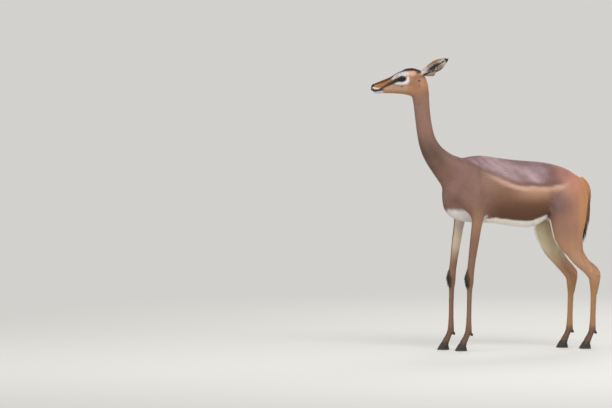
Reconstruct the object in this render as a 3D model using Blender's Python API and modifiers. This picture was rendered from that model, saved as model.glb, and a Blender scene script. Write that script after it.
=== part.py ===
"""A life-size female gerenuk, standing still with her head up.

In metres, +Z up, facing -X, with her left side at -Y. The body is modelled whole from lofted and round
forms, fused and smoothed, and then parted with thin cuts.
"""

import math

import bmesh
import bpy
import numpy as np
from mathutils import Matrix, Vector

# Driving dimensions
ELBOW_HEIGHT = 0.632
KNEE_HEIGHT = 0.338
STIFLE_HEIGHT = 0.560
HOCK_HEIGHT = 0.338
FETLOCK_HEIGHT = 0.092
HEAD_TURN = math.radians(22)  # to her right of the body's own line
NECK_TOP = Vector((-0.327, 0.0, 1.17))
EYE_LEVEL = 1.269
EYE_AHEAD_OF_NECK = 0.0874
EYE_RADIUS = 0.0170
EYE_SIDE = 0.0352
EYE_SIDES = 18  # of its faceted ball
LID_RADIUS = 0.0198
EAR_LENGTH = 0.147
EAR_STUMP = 0.004  # of the skull, below the ear
HOOF_WIDTH = 0.0205
CORONET = 0.0240  # height of the hoof's upper edge in its middle
CORONET_SLOPE = 0.35  # how much higher it is in front
CLAW_AHEAD = 0.030  # of the fetlock
CLAW_APART = 0.0115  # from the foot's middle
TAIL_LOCKS = 11
TAIL_LOCK_WIDTH = 0.0125
KNEE_LOCK_WIDTH = 0.0095
GAP = 0.0003  # left between the faces of two nodes

# Fineness of the fused body, and how many triangles its stretches keep
VOXEL = 0.0025
STRETCHES = (
    # from this height, up to this one, the triangles kept
    (0.55, 1.165, 2290),
    (0.12, 0.55, 1350),
    (-0.10, 0.12, 960),
    (1.165, 2.00, 2850),
)

SIDES = {"left": -1, "right": 1}


def through(rows, count):
    """Rows of numbers read, evenly spaced, from one smooth curve through the given rows."""
    rows = np.asarray(rows, float)
    step = np.linalg.norm(np.diff(rows[:, :3], axis=0), axis=1)
    at = np.concatenate([[0], np.cumsum(step)])
    slope = np.gradient(rows, at, axis=0)
    want = np.linspace(0, at[-1], count)
    i = np.clip(np.searchsorted(at, want, side="right") - 1, 0, len(at) - 2)
    length = (at[i + 1] - at[i])[:, None]
    s = (want - at[i])[:, None] / length
    return (
        (2 * s**3 - 3 * s**2 + 1) * rows[i]
        + (s**3 - 2 * s**2 + s) * length * slope[i]
        + (3 * s**2 - 2 * s**3) * rows[i + 1]
        + (s**3 - s**2) * length * slope[i + 1]
    )


def mesh_object(name, rings):
    """A closed loft through rings of points that have the same count, with a flat cap at each end."""
    bm = bmesh.new()
    loops = [[bm.verts.new(p) for p in ring] for ring in rings]
    count = len(loops[0])
    for a, b in zip(loops, loops[1:]):
        for k in range(count):
            bm.faces.new((a[k], a[(k + 1) % count], b[(k + 1) % count], b[k]))
    bm.faces.new(loops[0])
    bm.faces.new(list(reversed(loops[-1])))
    bmesh.ops.recalc_face_normals(bm, faces=bm.faces)
    mesh = bpy.data.meshes.new(name)
    bm.to_mesh(mesh)
    bm.free()
    made = bpy.data.objects.new(name, mesh)
    bpy.context.scene.collection.objects.link(made)
    return made


def rounded(value, power):
    return np.sign(value) * np.abs(value) ** (2 / power)


def tube(name, rows, count=24, around=28, power=2.0):
    """A tube along rows of (x, y, z, front, back, side, turn).

    These are its half depths ahead and behind, its half width, and the degrees by which its side axis
    is turned about Z.
    """
    rows = through(rows, count)
    centre = rows[:, :3]
    along = np.gradient(centre, axis=0)
    along /= np.linalg.norm(along, axis=1)[:, None]
    turn = np.radians(rows[:, 6]) if rows.shape[1] > 6 else np.zeros(len(rows))
    side = np.stack([np.sin(turn), np.cos(turn), 0 * turn], axis=1)
    side -= (side * along).sum(1)[:, None] * along
    side /= np.linalg.norm(side, axis=1)[:, None]
    ahead = np.cross(along, side)
    ahead *= np.where(ahead[:, :1] > 0, -1, 1)  # she faces -X, so ahead points there
    angle = np.arange(around) * 2 * math.pi / around
    rings = []
    for c, s, a, row in zip(centre, side, ahead, rows):
        depth = np.where(np.sin(angle) > 0, row[3], row[4])
        rings.append(
            c
            + np.outer(rounded(np.cos(angle), power) * row[5], s)
            + np.outer(rounded(np.sin(angle), power) * depth, a)
        )
    return mesh_object(name, rings)


def lump(name, centre, radii, turn=0.0, pitch=0.0, around=24):
    """A round form of muscle or bone, its long axis along X, pitched and then turned about Z in degrees."""
    bm = bmesh.new()
    bmesh.ops.create_uvsphere(bm, u_segments=around, v_segments=around * 2 // 3, radius=1.0)
    place = (
        Matrix.Translation(centre)
        @ Matrix.Rotation(math.radians(turn), 4, "Z")
        @ Matrix.Rotation(math.radians(pitch), 4, "Y")
        @ Matrix.Diagonal((*radii, 1))
    )
    bmesh.ops.transform(bm, matrix=place, verts=bm.verts)
    mesh = bpy.data.meshes.new(name)
    bm.to_mesh(mesh)
    bm.free()
    made = bpy.data.objects.new(name, mesh)
    bpy.context.scene.collection.objects.link(made)
    return made


# Trunk

TRUNK = (
    # x, top, bottom, half width, how high it is widest, upper and lower roundness
    (-0.222, 0.772, 0.676, 0.016, 0.50, 2.0, 2.0),
    (-0.208, 0.826, 0.644, 0.040, 0.50, 1.9, 1.9),
    (-0.170, 0.878, 0.612, 0.060, 0.50, 1.8, 1.8),
    (-0.120, 0.902, 0.597, 0.073, 0.48, 1.7, 1.8),
    (-0.046, 0.915, 0.593, 0.084, 0.46, 1.6, 1.9),
    (0.045, 0.902, 0.586, 0.094, 0.45, 1.8, 2.0),
    (0.125, 0.891, 0.574, 0.101, 0.44, 2.0, 2.1),
    (0.205, 0.884, 0.569, 0.101, 0.44, 2.1, 2.1),
    (0.262, 0.879, 0.590, 0.092, 0.46, 2.2, 2.0),
    (0.320, 0.869, 0.632, 0.086, 0.48, 2.1, 2.0),
    (0.380, 0.850, 0.660, 0.084, 0.50, 2.0, 2.0),
    (0.430, 0.822, 0.672, 0.068, 0.50, 2.0, 2.0),
    (0.466, 0.797, 0.690, 0.046, 0.50, 2.0, 2.0),
    (0.488, 0.772, 0.715, 0.020, 0.50, 2.0, 2.0),
)


def trunk():
    rows = np.array([(x, 0, 0, *rest) for x, *rest in TRUNK])
    rings = []
    angle = np.arange(48) * 2 * math.pi / 48
    for x, _, _, top, bottom, half, high, upper, lower in through(rows, 44):
        middle = bottom + (top - bottom) * high
        power = np.where(np.cos(angle) > 0, upper, lower)
        reach = np.where(np.cos(angle) > 0, top - middle, middle - bottom)
        y = half * np.sign(np.sin(angle)) * np.abs(np.sin(angle)) ** (2 / power)
        z = middle + reach * np.sign(np.cos(angle)) * np.abs(np.cos(angle)) ** (2 / power)
        rings.append(np.stack([np.full_like(y, x), y, z], axis=1))
    return mesh_object("form_trunk", rings)


NECK = (
    # x, y, z, front, back, side, turn
    (-0.120, 0, 0.800, 0.100, 0.100, 0.056, 0),
    (-0.172, 0, 0.838, 0.090, 0.078, 0.055, 0),
    (-0.222, 0, 0.877, 0.070, 0.060, 0.050, 0),
    (-0.268, 0, 0.925, 0.055, 0.050, 0.044, 2),
    (-0.296, 0, 0.980, 0.046, 0.043, 0.039, 5),
    (-0.311, 0, 1.040, 0.040, 0.040, 0.035, 9),
    (-0.320, 0, 1.105, 0.038, 0.038, 0.032, 14),
    (-0.326, 0, 1.160, 0.039, 0.039, 0.0315, 18),
    (-0.333, 0, 1.215, 0.042, 0.042, 0.034, 22),
    (-0.345, 0, 1.262, 0.036, 0.036, 0.030, 22),
)


def shoulder(side):
    s = SIDES[side]
    blade = (
        (-0.038, 0.024 * s, 0.884, 0.034, 0.040, 0.014),
        (-0.070, 0.045 * s, 0.835, 0.046, 0.052, 0.022),
        (-0.110, 0.058 * s, 0.780, 0.048, 0.056, 0.026),
        (-0.140, 0.060 * s, 0.735, 0.044, 0.052, 0.027),
        (-0.150, 0.058 * s, 0.700, 0.036, 0.045, 0.024),
    )
    shift = FORELEGS[side]["elbow"][0] - FORELEGS["left"]["elbow"][0]
    arm = (
        (-0.150 + 0.3 * shift, 0.060 * s, 0.745, 0.040, 0.048, 0.026),
        (-0.118 + 0.6 * shift, 0.066 * s, 0.700, 0.042, 0.056, 0.028),
        (-0.085 + 0.9 * shift, 0.070 * s, 0.660, 0.038, 0.046, 0.028),
        (-0.072 + shift, 0.071 * s, 0.625, 0.032, 0.034, 0.026),
    )
    triceps = (-0.062 + 0.5 * shift, 0.066 * s, 0.722)
    point = (-0.176 + 0.3 * shift, 0.047 * s, 0.730)
    return [
        tube(f"form_blade_{side}", blade, power=2.2),
        tube(f"form_arm_{side}", arm),
        lump(f"form_triceps_{side}", triceps, (0.048, 0.024, 0.072), pitch=-12),
        lump(f"form_point_{side}", point, (0.026, 0.020, 0.034)),
    ]


# Forelegs

FORELEGS = {
    "left": {"elbow": (-0.072, 0.071), "knee": (-0.108, 0.062), "fetlock": (-0.113, 0.058)},
    "right": {"elbow": (-0.112, 0.071), "knee": (-0.156, 0.060), "fetlock": (-0.162, 0.056)},
}
HINDLEGS = {
    "left": {"stifle": (0.352, 0.066), "hock": (0.508, 0.060), "fetlock": (0.501, 0.057)},
    "right": {"stifle": (0.292, 0.066), "hock": (0.436, 0.058), "fetlock": (0.427, 0.055)},
}


def between(a, b, part, side, *sizes):
    """A tube's row at a part of the way from joint a to joint b, each (x, y, z)."""
    x, y, z = (p + (q - p) * part for p, q in zip(a, b))
    return (x, y * SIDES[side], z, *sizes)


def foreleg(side):
    joints = FORELEGS[side]
    elbow = (*joints["elbow"], ELBOW_HEIGHT)
    knee = (*joints["knee"], KNEE_HEIGHT)
    fetlock = (*joints["fetlock"], FETLOCK_HEIGHT)
    rows = (
        between(elbow, knee, -0.10, side, 0.030, 0.036, 0.024),
        between(elbow, knee, 0.05, side, 0.029, 0.034, 0.0245),
        between(elbow, knee, 0.25, side, 0.0250, 0.0265, 0.0215),
        between(elbow, knee, 0.50, side, 0.0215, 0.0210, 0.0180),
        between(elbow, knee, 0.75, side, 0.0190, 0.0180, 0.0160),
        between(elbow, knee, 0.90, side, 0.0190, 0.0180, 0.0172),
        between(elbow, knee, 1.00, side, 0.0215, 0.0195, 0.0195),
        between(knee, fetlock, 0.08, side, 0.0190, 0.0190, 0.0182),
        between(knee, fetlock, 0.20, side, 0.0135, 0.0150, 0.0130),
        between(knee, fetlock, 0.40, side, 0.0120, 0.0135, 0.0112),
        between(knee, fetlock, 0.75, side, 0.0120, 0.0140, 0.0112),
        between(knee, fetlock, 0.92, side, 0.0140, 0.0160, 0.0130),
        between(knee, fetlock, 1.00, side, 0.0155, 0.0175, 0.0148),
        between(knee, fetlock, 1.06, side, 0.0145, 0.0160, 0.0140),
    )
    return [tube(f"form_foreleg_{side}", rows, 60)] + digits(side, "fore", fetlock)


def digits(side, pair, fetlock):
    """The two short pasterns of a foot, side by side, and the two dewclaws behind the fetlock."""
    x, y, z = fetlock
    made = []
    for inner in (-1, 1):
        rows = (
            (x - 0.002, (y + 0.60 * CLAW_APART * inner) * SIDES[side], z - 0.005, 0.0130, 0.0135, 0.0090),
            (x - 0.013, (y + 0.80 * CLAW_APART * inner) * SIDES[side], z - 0.030, 0.0120, 0.0125, 0.0092),
            (x - 0.024, (y + 0.95 * CLAW_APART * inner) * SIDES[side], z - 0.052, 0.0145, 0.0145, 0.0098),
            (x - 0.032, (y + CLAW_APART * inner) * SIDES[side], z - 0.075, 0.0165, 0.0175, 0.0098),
        )
        made.append(tube(f"form_digit_{pair}_{side}_{inner}", rows, 14, 20))
        claw = (x + 0.0145, (y + 0.0085 * inner) * SIDES[side], z - 0.014)
        made.append(lump(f"form_dewclaw_{pair}_{side}_{inner}", claw, (0.0085, 0.0050, 0.0055), pitch=62))
    return made


# Hind legs

FLANK_FOLD = 0.23  # how far a leg that is drawn back pulls the skin in front of its thigh forward, of its own way


def hindleg(side):
    joints = HINDLEGS[side]
    stifle = (*joints["stifle"], STIFLE_HEIGHT)
    hock = (*joints["hock"], HOCK_HEIGHT)
    fetlock = (*joints["fetlock"], FETLOCK_HEIGHT)
    s = SIDES[side]
    lean = joints["stifle"][0] - HINDLEGS["left"]["stifle"][0]
    fold = FLANK_FOLD * (joints["stifle"][0] - HINDLEGS["right"]["stifle"][0])
    thigh = (
        (0.385, 0.030 * s, 0.815, 0.040, 0.036, 0.018),
        (0.392 + 0.05 * lean, 0.040 * s, 0.780, 0.084, 0.070, 0.036),
        (0.394 + 0.18 * lean, 0.048 * s, 0.735, 0.100, 0.090, 0.045),
        (0.387 + 0.40 * lean, 0.054 * s, 0.685, 0.100, 0.094, 0.047),
        (0.378 + 0.72 * lean, 0.060 * s, 0.625, 0.088 + fold, 0.094, 0.042),
        (0.374 + 0.95 * lean, 0.064 * s, 0.565, 0.068 + fold, 0.088, 0.036),
        (0.388 + lean, 0.065 * s, 0.505, 0.052 + fold, 0.066, 0.029),
        (0.410 + lean, 0.064 * s, 0.450, 0.038, 0.046, 0.022),
    )
    gaskin = (
        (stifle[0] - 0.002, 0.065 * s, 0.570, 0.034, 0.040, 0.028),
        (stifle[0] + 0.024, 0.065 * s, 0.515, 0.042, 0.046, 0.030),
        (stifle[0] + 0.046, 0.064 * s, 0.466, 0.038, 0.038, 0.026),
        (stifle[0] + 0.078, 0.063 * s, 0.418, 0.030, 0.030, 0.0205),
        (hock[0] - 0.036, hock[1] * s, 0.378, 0.0245, 0.024, 0.0172),
        (hock[0] - 0.010, hock[1] * s, 0.346, 0.0230, 0.0225, 0.0180),
        (hock[0] + 0.002, hock[1] * s, 0.325, 0.0220, 0.0220, 0.0185),
    )
    heel = (hock[0] + 0.0245, hock[1] * s, hock[2] + 0.018)
    string = (
        (stifle[0] + 0.070, 0.064 * s, 0.500, 0.0120, 0.0120, 0.0120),
        (stifle[0] + 0.092, 0.064 * s, 0.458, 0.0105, 0.0105, 0.0100),
        (stifle[0] + 0.122, 0.063 * s, 0.415, 0.0080, 0.0085, 0.0078),
        (heel[0] - 0.016, heel[1], 0.380, 0.0080, 0.0080, 0.0078),
        (heel[0], heel[1], heel[2], 0.0100, 0.0090, 0.0098),
    )
    web = (
        (stifle[0] + 0.058, 0.064 * s, 0.490, 0.020, 0.020, 0.0110),
        (stifle[0] + 0.084, 0.064 * s, 0.446, 0.022, 0.016, 0.0080),
        (stifle[0] + 0.106, 0.063 * s, 0.410, 0.022, 0.016, 0.0062),
        (hock[0] - 0.014, hock[1] * s, 0.374, 0.022, 0.018, 0.0066),
        (hock[0] + 0.006, hock[1] * s, 0.346, 0.020, 0.020, 0.0080),
    )
    bone = (
        (heel[0] - 0.001, heel[1], heel[2] + 0.006, 0.0095, 0.0085, 0.0095),
        (heel[0] - 0.002, heel[1], heel[2] - 0.018, 0.0130, 0.0105, 0.0115),
        (heel[0] - 0.007, heel[1], heel[2] - 0.052, 0.0130, 0.0100, 0.0108),
        (heel[0] - 0.014, heel[1], heel[2] - 0.095, 0.0090, 0.0080, 0.0085),
    )
    cannon = (
        between(hock, fetlock, -0.06, side, 0.0210, 0.0210, 0.0180),
        between(hock, fetlock, 0.03, side, 0.0235, 0.0230, 0.0195),
        between(hock, fetlock, 0.14, side, 0.0205, 0.0210, 0.0175),
        between(hock, fetlock, 0.28, side, 0.0155, 0.0180, 0.0138),
        between(hock, fetlock, 0.50, side, 0.0138, 0.0160, 0.0118),
        between(hock, fetlock, 0.78, side, 0.0136, 0.0158, 0.0118),
        between(hock, fetlock, 0.92, side, 0.0155, 0.0172, 0.0136),
        between(hock, fetlock, 1.00, side, 0.0168, 0.0185, 0.0152),
        between(hock, fetlock, 1.06, side, 0.0150, 0.0165, 0.0142),
    )
    return [
        tube(f"form_thigh_{side}", thigh, power=2.1),
        tube(f"form_gaskin_{side}", gaskin),
        tube(f"form_heel_string_{side}", string, around=16),
        tube(f"form_heel_web_{side}", web, around=16),
        tube(f"form_heel_bone_{side}", bone, around=16),
        tube(f"form_hind_cannon_{side}", cannon, 40),
        lump(f"form_hip_{side}", (0.290, 0.058 * s, 0.832), (0.036, 0.0160, 0.020), pitch=15),
        lump(f"form_seat_{side}", (0.456, 0.038 * s, 0.744), (0.034, 0.026, 0.034)),
    ] + digits(side, "hind", fetlock)


# Head

HEAD = (
    # forward, top, bottom, crown half width, cheek half width, cheek level, jaw half width
    (-0.122, -0.036, -0.070, 0.006, 0.012, -0.050, 0.006),
    (-0.112, -0.004, -0.088, 0.018, 0.030, -0.042, 0.018),
    (-0.095, 0.025, -0.100, 0.026, 0.040, -0.030, 0.026),
    (-0.065, 0.0425, -0.094, 0.030, 0.043, -0.012, 0.028),
    (-0.035, 0.0465, -0.080, 0.033, 0.044, -0.008, 0.027),
    (-0.005, 0.0390, -0.0735, 0.034, 0.044, -0.006, 0.024),
    (0.025, 0.0265, -0.0710, 0.027, 0.038, -0.014, 0.0205),
    (0.055, 0.0085, -0.0695, 0.0185, 0.0290, -0.024, 0.0170),
    (0.085, -0.0040, -0.0690, 0.0145, 0.0235, -0.034, 0.0145),
    (0.112, -0.0150, -0.0680, 0.0130, 0.0205, -0.040, 0.0125),
    (0.132, -0.0245, -0.0625, 0.0115, 0.0170, -0.043, 0.0095),
    (0.1465, -0.0360, -0.0560, 0.0070, 0.0095, -0.0455, 0.0050),
)


def head_place():
    """Turns the head's own frame into the world's: x ahead, y to her left, z up, from between the eyes."""
    turn = Matrix.Rotation(math.pi - HEAD_TURN, 4, "Z")
    ahead = turn @ Vector((1, 0, 0))
    at = Vector((NECK_TOP.x, NECK_TOP.y, EYE_LEVEL)) + ahead * EYE_AHEAD_OF_NECK
    return Matrix.Translation(at) @ turn


def closed_curve(points, count):
    """Evenly numbered points on one smooth closed curve through the given ones."""
    points = np.asarray(points, float)
    n = len(points)
    t = np.arange(count) * n / count
    i = t.astype(int)
    s = (t - i)[:, None]
    a, b, c, d = (points[(i + k) % n] for k in (-1, 0, 1, 2))
    return 0.5 * (2 * b + (c - a) * s + (2 * a - 5 * b + 4 * c - d) * s**2 + (3 * b - a - 3 * c + d) * s**3)


def head_loft():
    rows = np.array([(x, 0, 0, *rest) for x, *rest in HEAD])
    rings = []
    for x, _, _, top, bottom, crown, cheek, level, jaw in through(rows, 48):
        right = (
            (0, top),
            (crown, top - 0.20 * (top - level)),
            (cheek, level),
            (jaw, bottom + 0.20 * (level - bottom)),
            (0, bottom),
        )
        left = [(-y, z) for y, z in right[3:0:-1]]
        outline = closed_curve([*right, *left], 40)
        rings.append(np.column_stack([np.full(len(outline), x), outline]))
    return mesh_object("form_head", rings)


EARS = {
    # the way each points and the way its cup opens, in the head's frame
    "left": ((-0.850, 0.200, 0.455), (0.38, 0.86, -0.10)),
    "right": ((-0.383, -0.890, 0.140), (0.85, -0.35, -0.35)),
}


def ear_axis(side):
    """Where the ear leaves the skull, the way it points and the way its cup opens, in the head's frame."""
    root = Vector((-0.088, 0.0330 if side == "left" else -0.0330, 0.0215))
    along, opens = (Vector(way).normalized() for way in EARS[side])
    return root, along, (opens - along * opens.dot(along)).normalized()


def head_forms():
    made = [head_loft()]
    for side, s in (("left", 1), ("right", -1)):
        root, along, opens = ear_axis(side)
        start = root - along * 0.018
        end = root + along * 0.016
        stump = (
            (*(root - along * 0.032), 0.019, 0.019, 0.019),
            (*start, 0.0165, 0.0165, 0.0165),
            (*root, 0.0130, 0.0130, 0.0130),
            (*end, 0.0130, 0.0130, 0.0130),
        )
        arch = (
            (0.052, 0.0215 * s, -0.024, 0.007, 0.007, 0.007),
            (0.016, 0.0335 * s, -0.0230, 0.010, 0.010, 0.009),
            (-0.022, 0.0375 * s, -0.019, 0.011, 0.011, 0.009),
            (-0.068, 0.0345 * s, -0.003, 0.010, 0.010, 0.009),
        )
        made += [
            lump(f"form_lids_{side}", (0, EYE_SIDE * s, 0), (LID_RADIUS, LID_RADIUS, LID_RADIUS)),
            lump(f"form_orbit_{side}", (-0.003, 0.0300 * s, 0.002), (0.030, 0.0205, 0.0250), 10 * s),
            lump(f"form_brow_{side}", (-0.002, 0.0300 * s, 0.0185), (0.028, 0.0150, 0.0095), 12 * s, 6),
            lump(f"form_cheek_{side}", (-0.050, 0.0235 * s, -0.040), (0.042, 0.0165, 0.034), 4 * s, -20),
            lump(f"form_lip_{side}", (0.116, 0.0095 * s, -0.0475), (0.026, 0.0100, 0.0105), 12 * s, 14),
            tube(f"form_ear_root_{side}", stump, 10, 18),
            tube(f"form_arch_{side}", arch, 16, 14),
        ]
    made += [
        lump("form_nose", (0.1330, 0, -0.0375), (0.0140, 0.0180, 0.0130), 0, 25),
        lump("form_upper_lip", (0.1365, 0, -0.0500), (0.0115, 0.0140, 0.0085), 0, 10),
        lump("form_chin", (0.1120, 0, -0.0630), (0.0215, 0.0120, 0.0090), 0, 4),
    ]
    for form in made:
        form.data.transform(head_place())
    return made


# Tail

TAIL = (
    # x, y, z, front, back, side
    (0.460, 0, 0.800, 0.015, 0.015, 0.016),
    (0.484, 0, 0.781, 0.0140, 0.0140, 0.0150),
    (0.5005, 0, 0.754, 0.0120, 0.0120, 0.0130),
    (0.5070, 0, 0.715, 0.0100, 0.0100, 0.0110),
    (0.5050, 0, 0.670, 0.0085, 0.0085, 0.0095),
    (0.4980, 0, 0.620, 0.0072, 0.0072, 0.0080),
    (0.4900, 0, 0.570, 0.0062, 0.0062, 0.0066),
    (0.4850, 0, 0.540, 0.0045, 0.0045, 0.0045),
)


def fused(forms, voxel):
    """All the forms as one skin of small faces."""
    bm = bmesh.new()
    for form in forms:
        bm.from_mesh(form.data)
        bpy.data.objects.remove(form)
    mesh = bpy.data.meshes.new("body")
    bm.to_mesh(mesh)
    bm.free()
    body = bpy.data.objects.new("body", mesh)
    bpy.context.scene.collection.objects.link(body)
    remesh = body.modifiers.new("fuse", "REMESH")
    remesh.mode = "VOXEL"
    remesh.voxel_size = voxel
    remesh.adaptivity = 0
    graph = bpy.context.evaluated_depsgraph_get()
    made = bpy.data.meshes.new_from_object(body.evaluated_get(graph))
    body.modifiers.clear()
    body.data = made
    return body


def coordinates(mesh):
    points = np.empty(len(mesh.vertices) * 3)
    mesh.vertices.foreach_get("co", points)
    return points.reshape(-1, 3)


def edge_ends(mesh):
    ends = np.empty(len(mesh.edges) * 2, int)
    mesh.edges.foreach_get("vertices", ends)
    return ends.reshape(-1, 2)


def relax(points, ends, share, rounds):
    """Moves every point towards the mean of its neighbours, by its own share, again and again."""
    count = np.bincount(ends.ravel(), minlength=len(points))[:, None]
    a, b = ends.T
    for _ in range(rounds):
        total = np.stack(
            [
                np.bincount(a, points[b, k], len(points)) + np.bincount(b, points[a, k], len(points))
                for k in range(3)
            ],
            axis=1,
        )
        points = points + share[:, None] * (total / count - points)
    return points


def ramp(value, low, high):
    t = np.clip((value - low) / (high - low), 0, 1)
    return t * t * (3 - 2 * t)


def smoothed(body):
    """The creases between the fused forms are drawn out: broadly on the trunk, little on legs and head."""
    mesh = body.data
    points, ends = coordinates(mesh), edge_ends(mesh)
    even = np.full(len(points), 0.5)
    for _ in range(4):
        points = relax(points, ends, even, 1)
        points = relax(points, ends, -0.52 + 0 * even, 1)
    trunk_share = ramp(points[:, 2], 0.50, 0.60) * (1 - ramp(points[:, 2], 0.98, 1.10))
    points = relax(points, ends, 0.5 * trunk_share, int(90 * (0.0025 / VOXEL) ** 2))
    head_share = ramp(points[:, 2], 1.16, 1.20)
    points = relax(points, ends, 0.15 + 0.35 * head_share, int(12 * (0.0025 / VOXEL) ** 2))
    mesh.vertices.foreach_set("co", points.ravel())
    mesh.update()
    return body


def all_forms():
    forms = [trunk(), tube("form_neck", NECK, 40, 36), tube("form_tail", TAIL, 30, 16)]
    for side in SIDES:
        forms += shoulder(side) + foreleg(side) + hindleg(side)
    return forms + head_forms()


def taken(obj):
    """The object with its modifiers applied."""
    graph = bpy.context.evaluated_depsgraph_get()
    made = bpy.data.meshes.new_from_object(obj.evaluated_get(graph))
    obj.modifiers.clear()
    obj.data = made
    return obj


def boolean(obj, other, operation):
    cut = obj.modifiers.new(operation.lower(), "BOOLEAN")
    cut.operation = operation
    cut.object = other
    return taken(obj)


def largest(obj):
    """Keeps only the largest closed surface of the object."""
    bm = bmesh.new()
    bm.from_mesh(obj.data)
    bmesh.ops.dissolve_degenerate(bm, edges=bm.edges, dist=0.000002)
    bmesh.ops.triangulate(bm, faces=bm.faces)
    left = set(bm.faces)
    shells = []
    while left:
        shell, edge = set(), [left.pop()]
        while edge:
            face = edge.pop()
            shell.add(face)
            for near in {f for e in face.edges for f in e.link_faces} & left:
                left.discard(near)
                edge.append(near)
        shells.append(shell)
    size = [abs(sum(f.calc_center_median().dot(f.normal) * f.calc_area() for f in s)) for s in shells]
    best = shells[size.index(max(size))]
    bmesh.ops.delete(bm, geom=[f for s in shells if s is not best for f in s], context="FACES")
    bm.to_mesh(obj.data)
    bm.free()
    return obj


def duplicate(obj, name):
    made = bpy.data.objects.new(name, obj.data.copy())
    bpy.context.scene.collection.objects.link(made)
    return made


def block(corners, grown=0.0):
    """The convex solid of these corners, with every face moved out by at least what it is grown by."""
    bm = bmesh.new()
    for corner in corners:
        for step in ((a, b, c) for a in (-1, 1) for b in (-1, 1) for c in (-1, 1)):
            bm.verts.new(Vector(corner) + Vector(step) * grown)
            if not grown:
                break
    bmesh.ops.convex_hull(bm, input=bm.verts)
    bmesh.ops.recalc_face_normals(bm, faces=bm.faces)
    mesh = bpy.data.meshes.new("block")
    bm.to_mesh(mesh)
    bm.free()
    made = bpy.data.objects.new("block", mesh)
    bpy.context.scene.collection.objects.link(made)
    return made


def slab(centre, normal, width, reach):
    """Eight corners of a box that stands on a plane, from the centre outwards along the normal."""
    normal = Vector(normal).normalized()
    across = normal.cross(Vector((0, 1, 0)))
    if across.length < 0.1:
        across = Vector((1, 0, 0))
    across.normalize()
    other = normal.cross(across)
    return [
        Vector(centre) + across * a * width + other * b * width + normal * c
        for a in (-1, 1)
        for b in (-1, 1)
        for c in (0, reach)
    ]


def parted(body, name, corners):
    """Takes what lies inside the block off the body as a node of its own, with the gap between them."""
    node = duplicate(body, name)
    inner = block(corners)
    largest(boolean(node, inner, "INTERSECT"))
    outer = block(corners, GAP)
    boolean(body, outer, "DIFFERENCE")
    for cutter in (inner, outer):
        bpy.data.objects.remove(cutter)
    return node


def removed(body, *cutters):
    for cutter in cutters:
        boolean(body, cutter, "DIFFERENCE")
        bpy.data.objects.remove(cutter)
    return body


# Head openings: sockets, lid openings, nostrils and the line of the mouth

LID_OPENING = (
    # forward and up from the middle of the eye, from the front corner over the upper lid and back under
    (0.0158, -0.0062),
    (0.0098, 0.0022),
    (0.0008, 0.0074),
    (-0.0084, 0.0066),
    (-0.0150, 0.0016),
    (-0.0112, -0.0058),
    (-0.0020, -0.0094),
    (0.0080, -0.0096),
)
MOUTH = (
    # forward, half width and height of the line where the lips meet, from its corner to the front
    (0.0830, 0.0235, -0.0480),
    (0.0980, 0.0215, -0.0510),
    (0.1130, 0.0185, -0.0545),
    (0.1280, 0.0145, -0.0570),
    (0.1380, 0.0085, -0.0578),
    (0.1420, 0.0000, -0.0580),
)
MOUTH_DEPTH = 0.0050
MOUTH_OPEN = 0.0011
NOSTRIL = (
    # forward, out to the side, up, radii, turn and pitch of the two hollows that make its comma shape
    (0.1430, 0.0095, -0.0375, (0.0055, 0.0026, 0.0030), -28, -25),
    (0.1378, 0.0150, -0.0345, (0.0058, 0.0026, 0.0020), -58, -12),
)
NOSTRIL_SIDES = 10


def head_cutters():
    """What is cut out of the head, in the head's frame."""
    cutters = []
    for side, s in (("left", 1), ("right", -1)):
        centre = Vector((0, EYE_SIDE * s, 0))
        socket = lump(f"cut_socket_{side}", centre, [EYE_RADIUS + GAP] * 3, around=EYE_SIDES)
        outline = closed_curve(LID_OPENING, 18)
        rings = [
            [(x * wide, (EYE_SIDE + out) * s, z * wide) for x, z in outline]
            for out, wide in ((0.0040, 0.93), (0.0300, 1.10))
        ]
        opening = mesh_object(f"cut_opening_{side}", rings)
        nostril = [
            lump(f"cut_nostril_{side}_{k}", (x, y * s, z), radii, turn * s, pitch, NOSTRIL_SIDES)
            for k, (x, y, z, radii, turn, pitch) in enumerate(NOSTRIL)
        ]
        cutters += [socket, opening, *nostril]
    line = through(MOUTH, 10)
    line = np.vstack([line, (line * (1, -1, 1))[-2::-1]])
    out = np.cross(np.gradient(line, axis=0), (0, 0, 1))
    out /= np.linalg.norm(out, axis=1)[:, None]
    out *= np.sign((out * (line - (0.05, 0, -0.05))).sum(1))[:, None]
    rings = []
    wide, narrow = Vector((0, 0, 0.8 * MOUTH_OPEN)), Vector((0, 0, 0.2 * MOUTH_OPEN))
    for p, o in zip(line, out):
        outside, inside = Vector(p + o * 0.008), Vector(p - o * MOUTH_DEPTH)
        rings.append([outside + wide, inside + narrow, inside - narrow, outside - wide])
    cutters.append(mesh_object("cut_mouth", rings))
    for cutter in cutters:
        cutter.data.transform(head_place())
    return cutters


# Ears

EAR = (
    # share of the length, half width, depth of the cup, thickness, degrees that the rims curl in, how solid
    (0.000, 0.0122, 0.0122, 0.0030, 90, 1.0),
    (0.050, 0.0130, 0.0132, 0.0030, 94, 1.0),
    (0.110, 0.0148, 0.0142, 0.0030, 102, 0.80),
    (0.180, 0.0172, 0.0150, 0.0029, 108, 0.30),
    (0.260, 0.0205, 0.0155, 0.0028, 106, 0.0),
    (0.360, 0.0245, 0.0150, 0.0026, 98, 0.0),
    (0.470, 0.0272, 0.0135, 0.0024, 90, 0.0),
    (0.580, 0.0275, 0.0110, 0.0022, 86, 0.0),
    (0.690, 0.0248, 0.0085, 0.0020, 84, 0.0),
    (0.800, 0.0195, 0.0060, 0.0018, 82, 0.0),
    (0.890, 0.0128, 0.0040, 0.0016, 80, 0.0),
    (0.960, 0.0062, 0.0024, 0.0013, 80, 0.0),
    (1.000, 0.0018, 0.0014, 0.0010, 80, 0.0),
)


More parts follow.
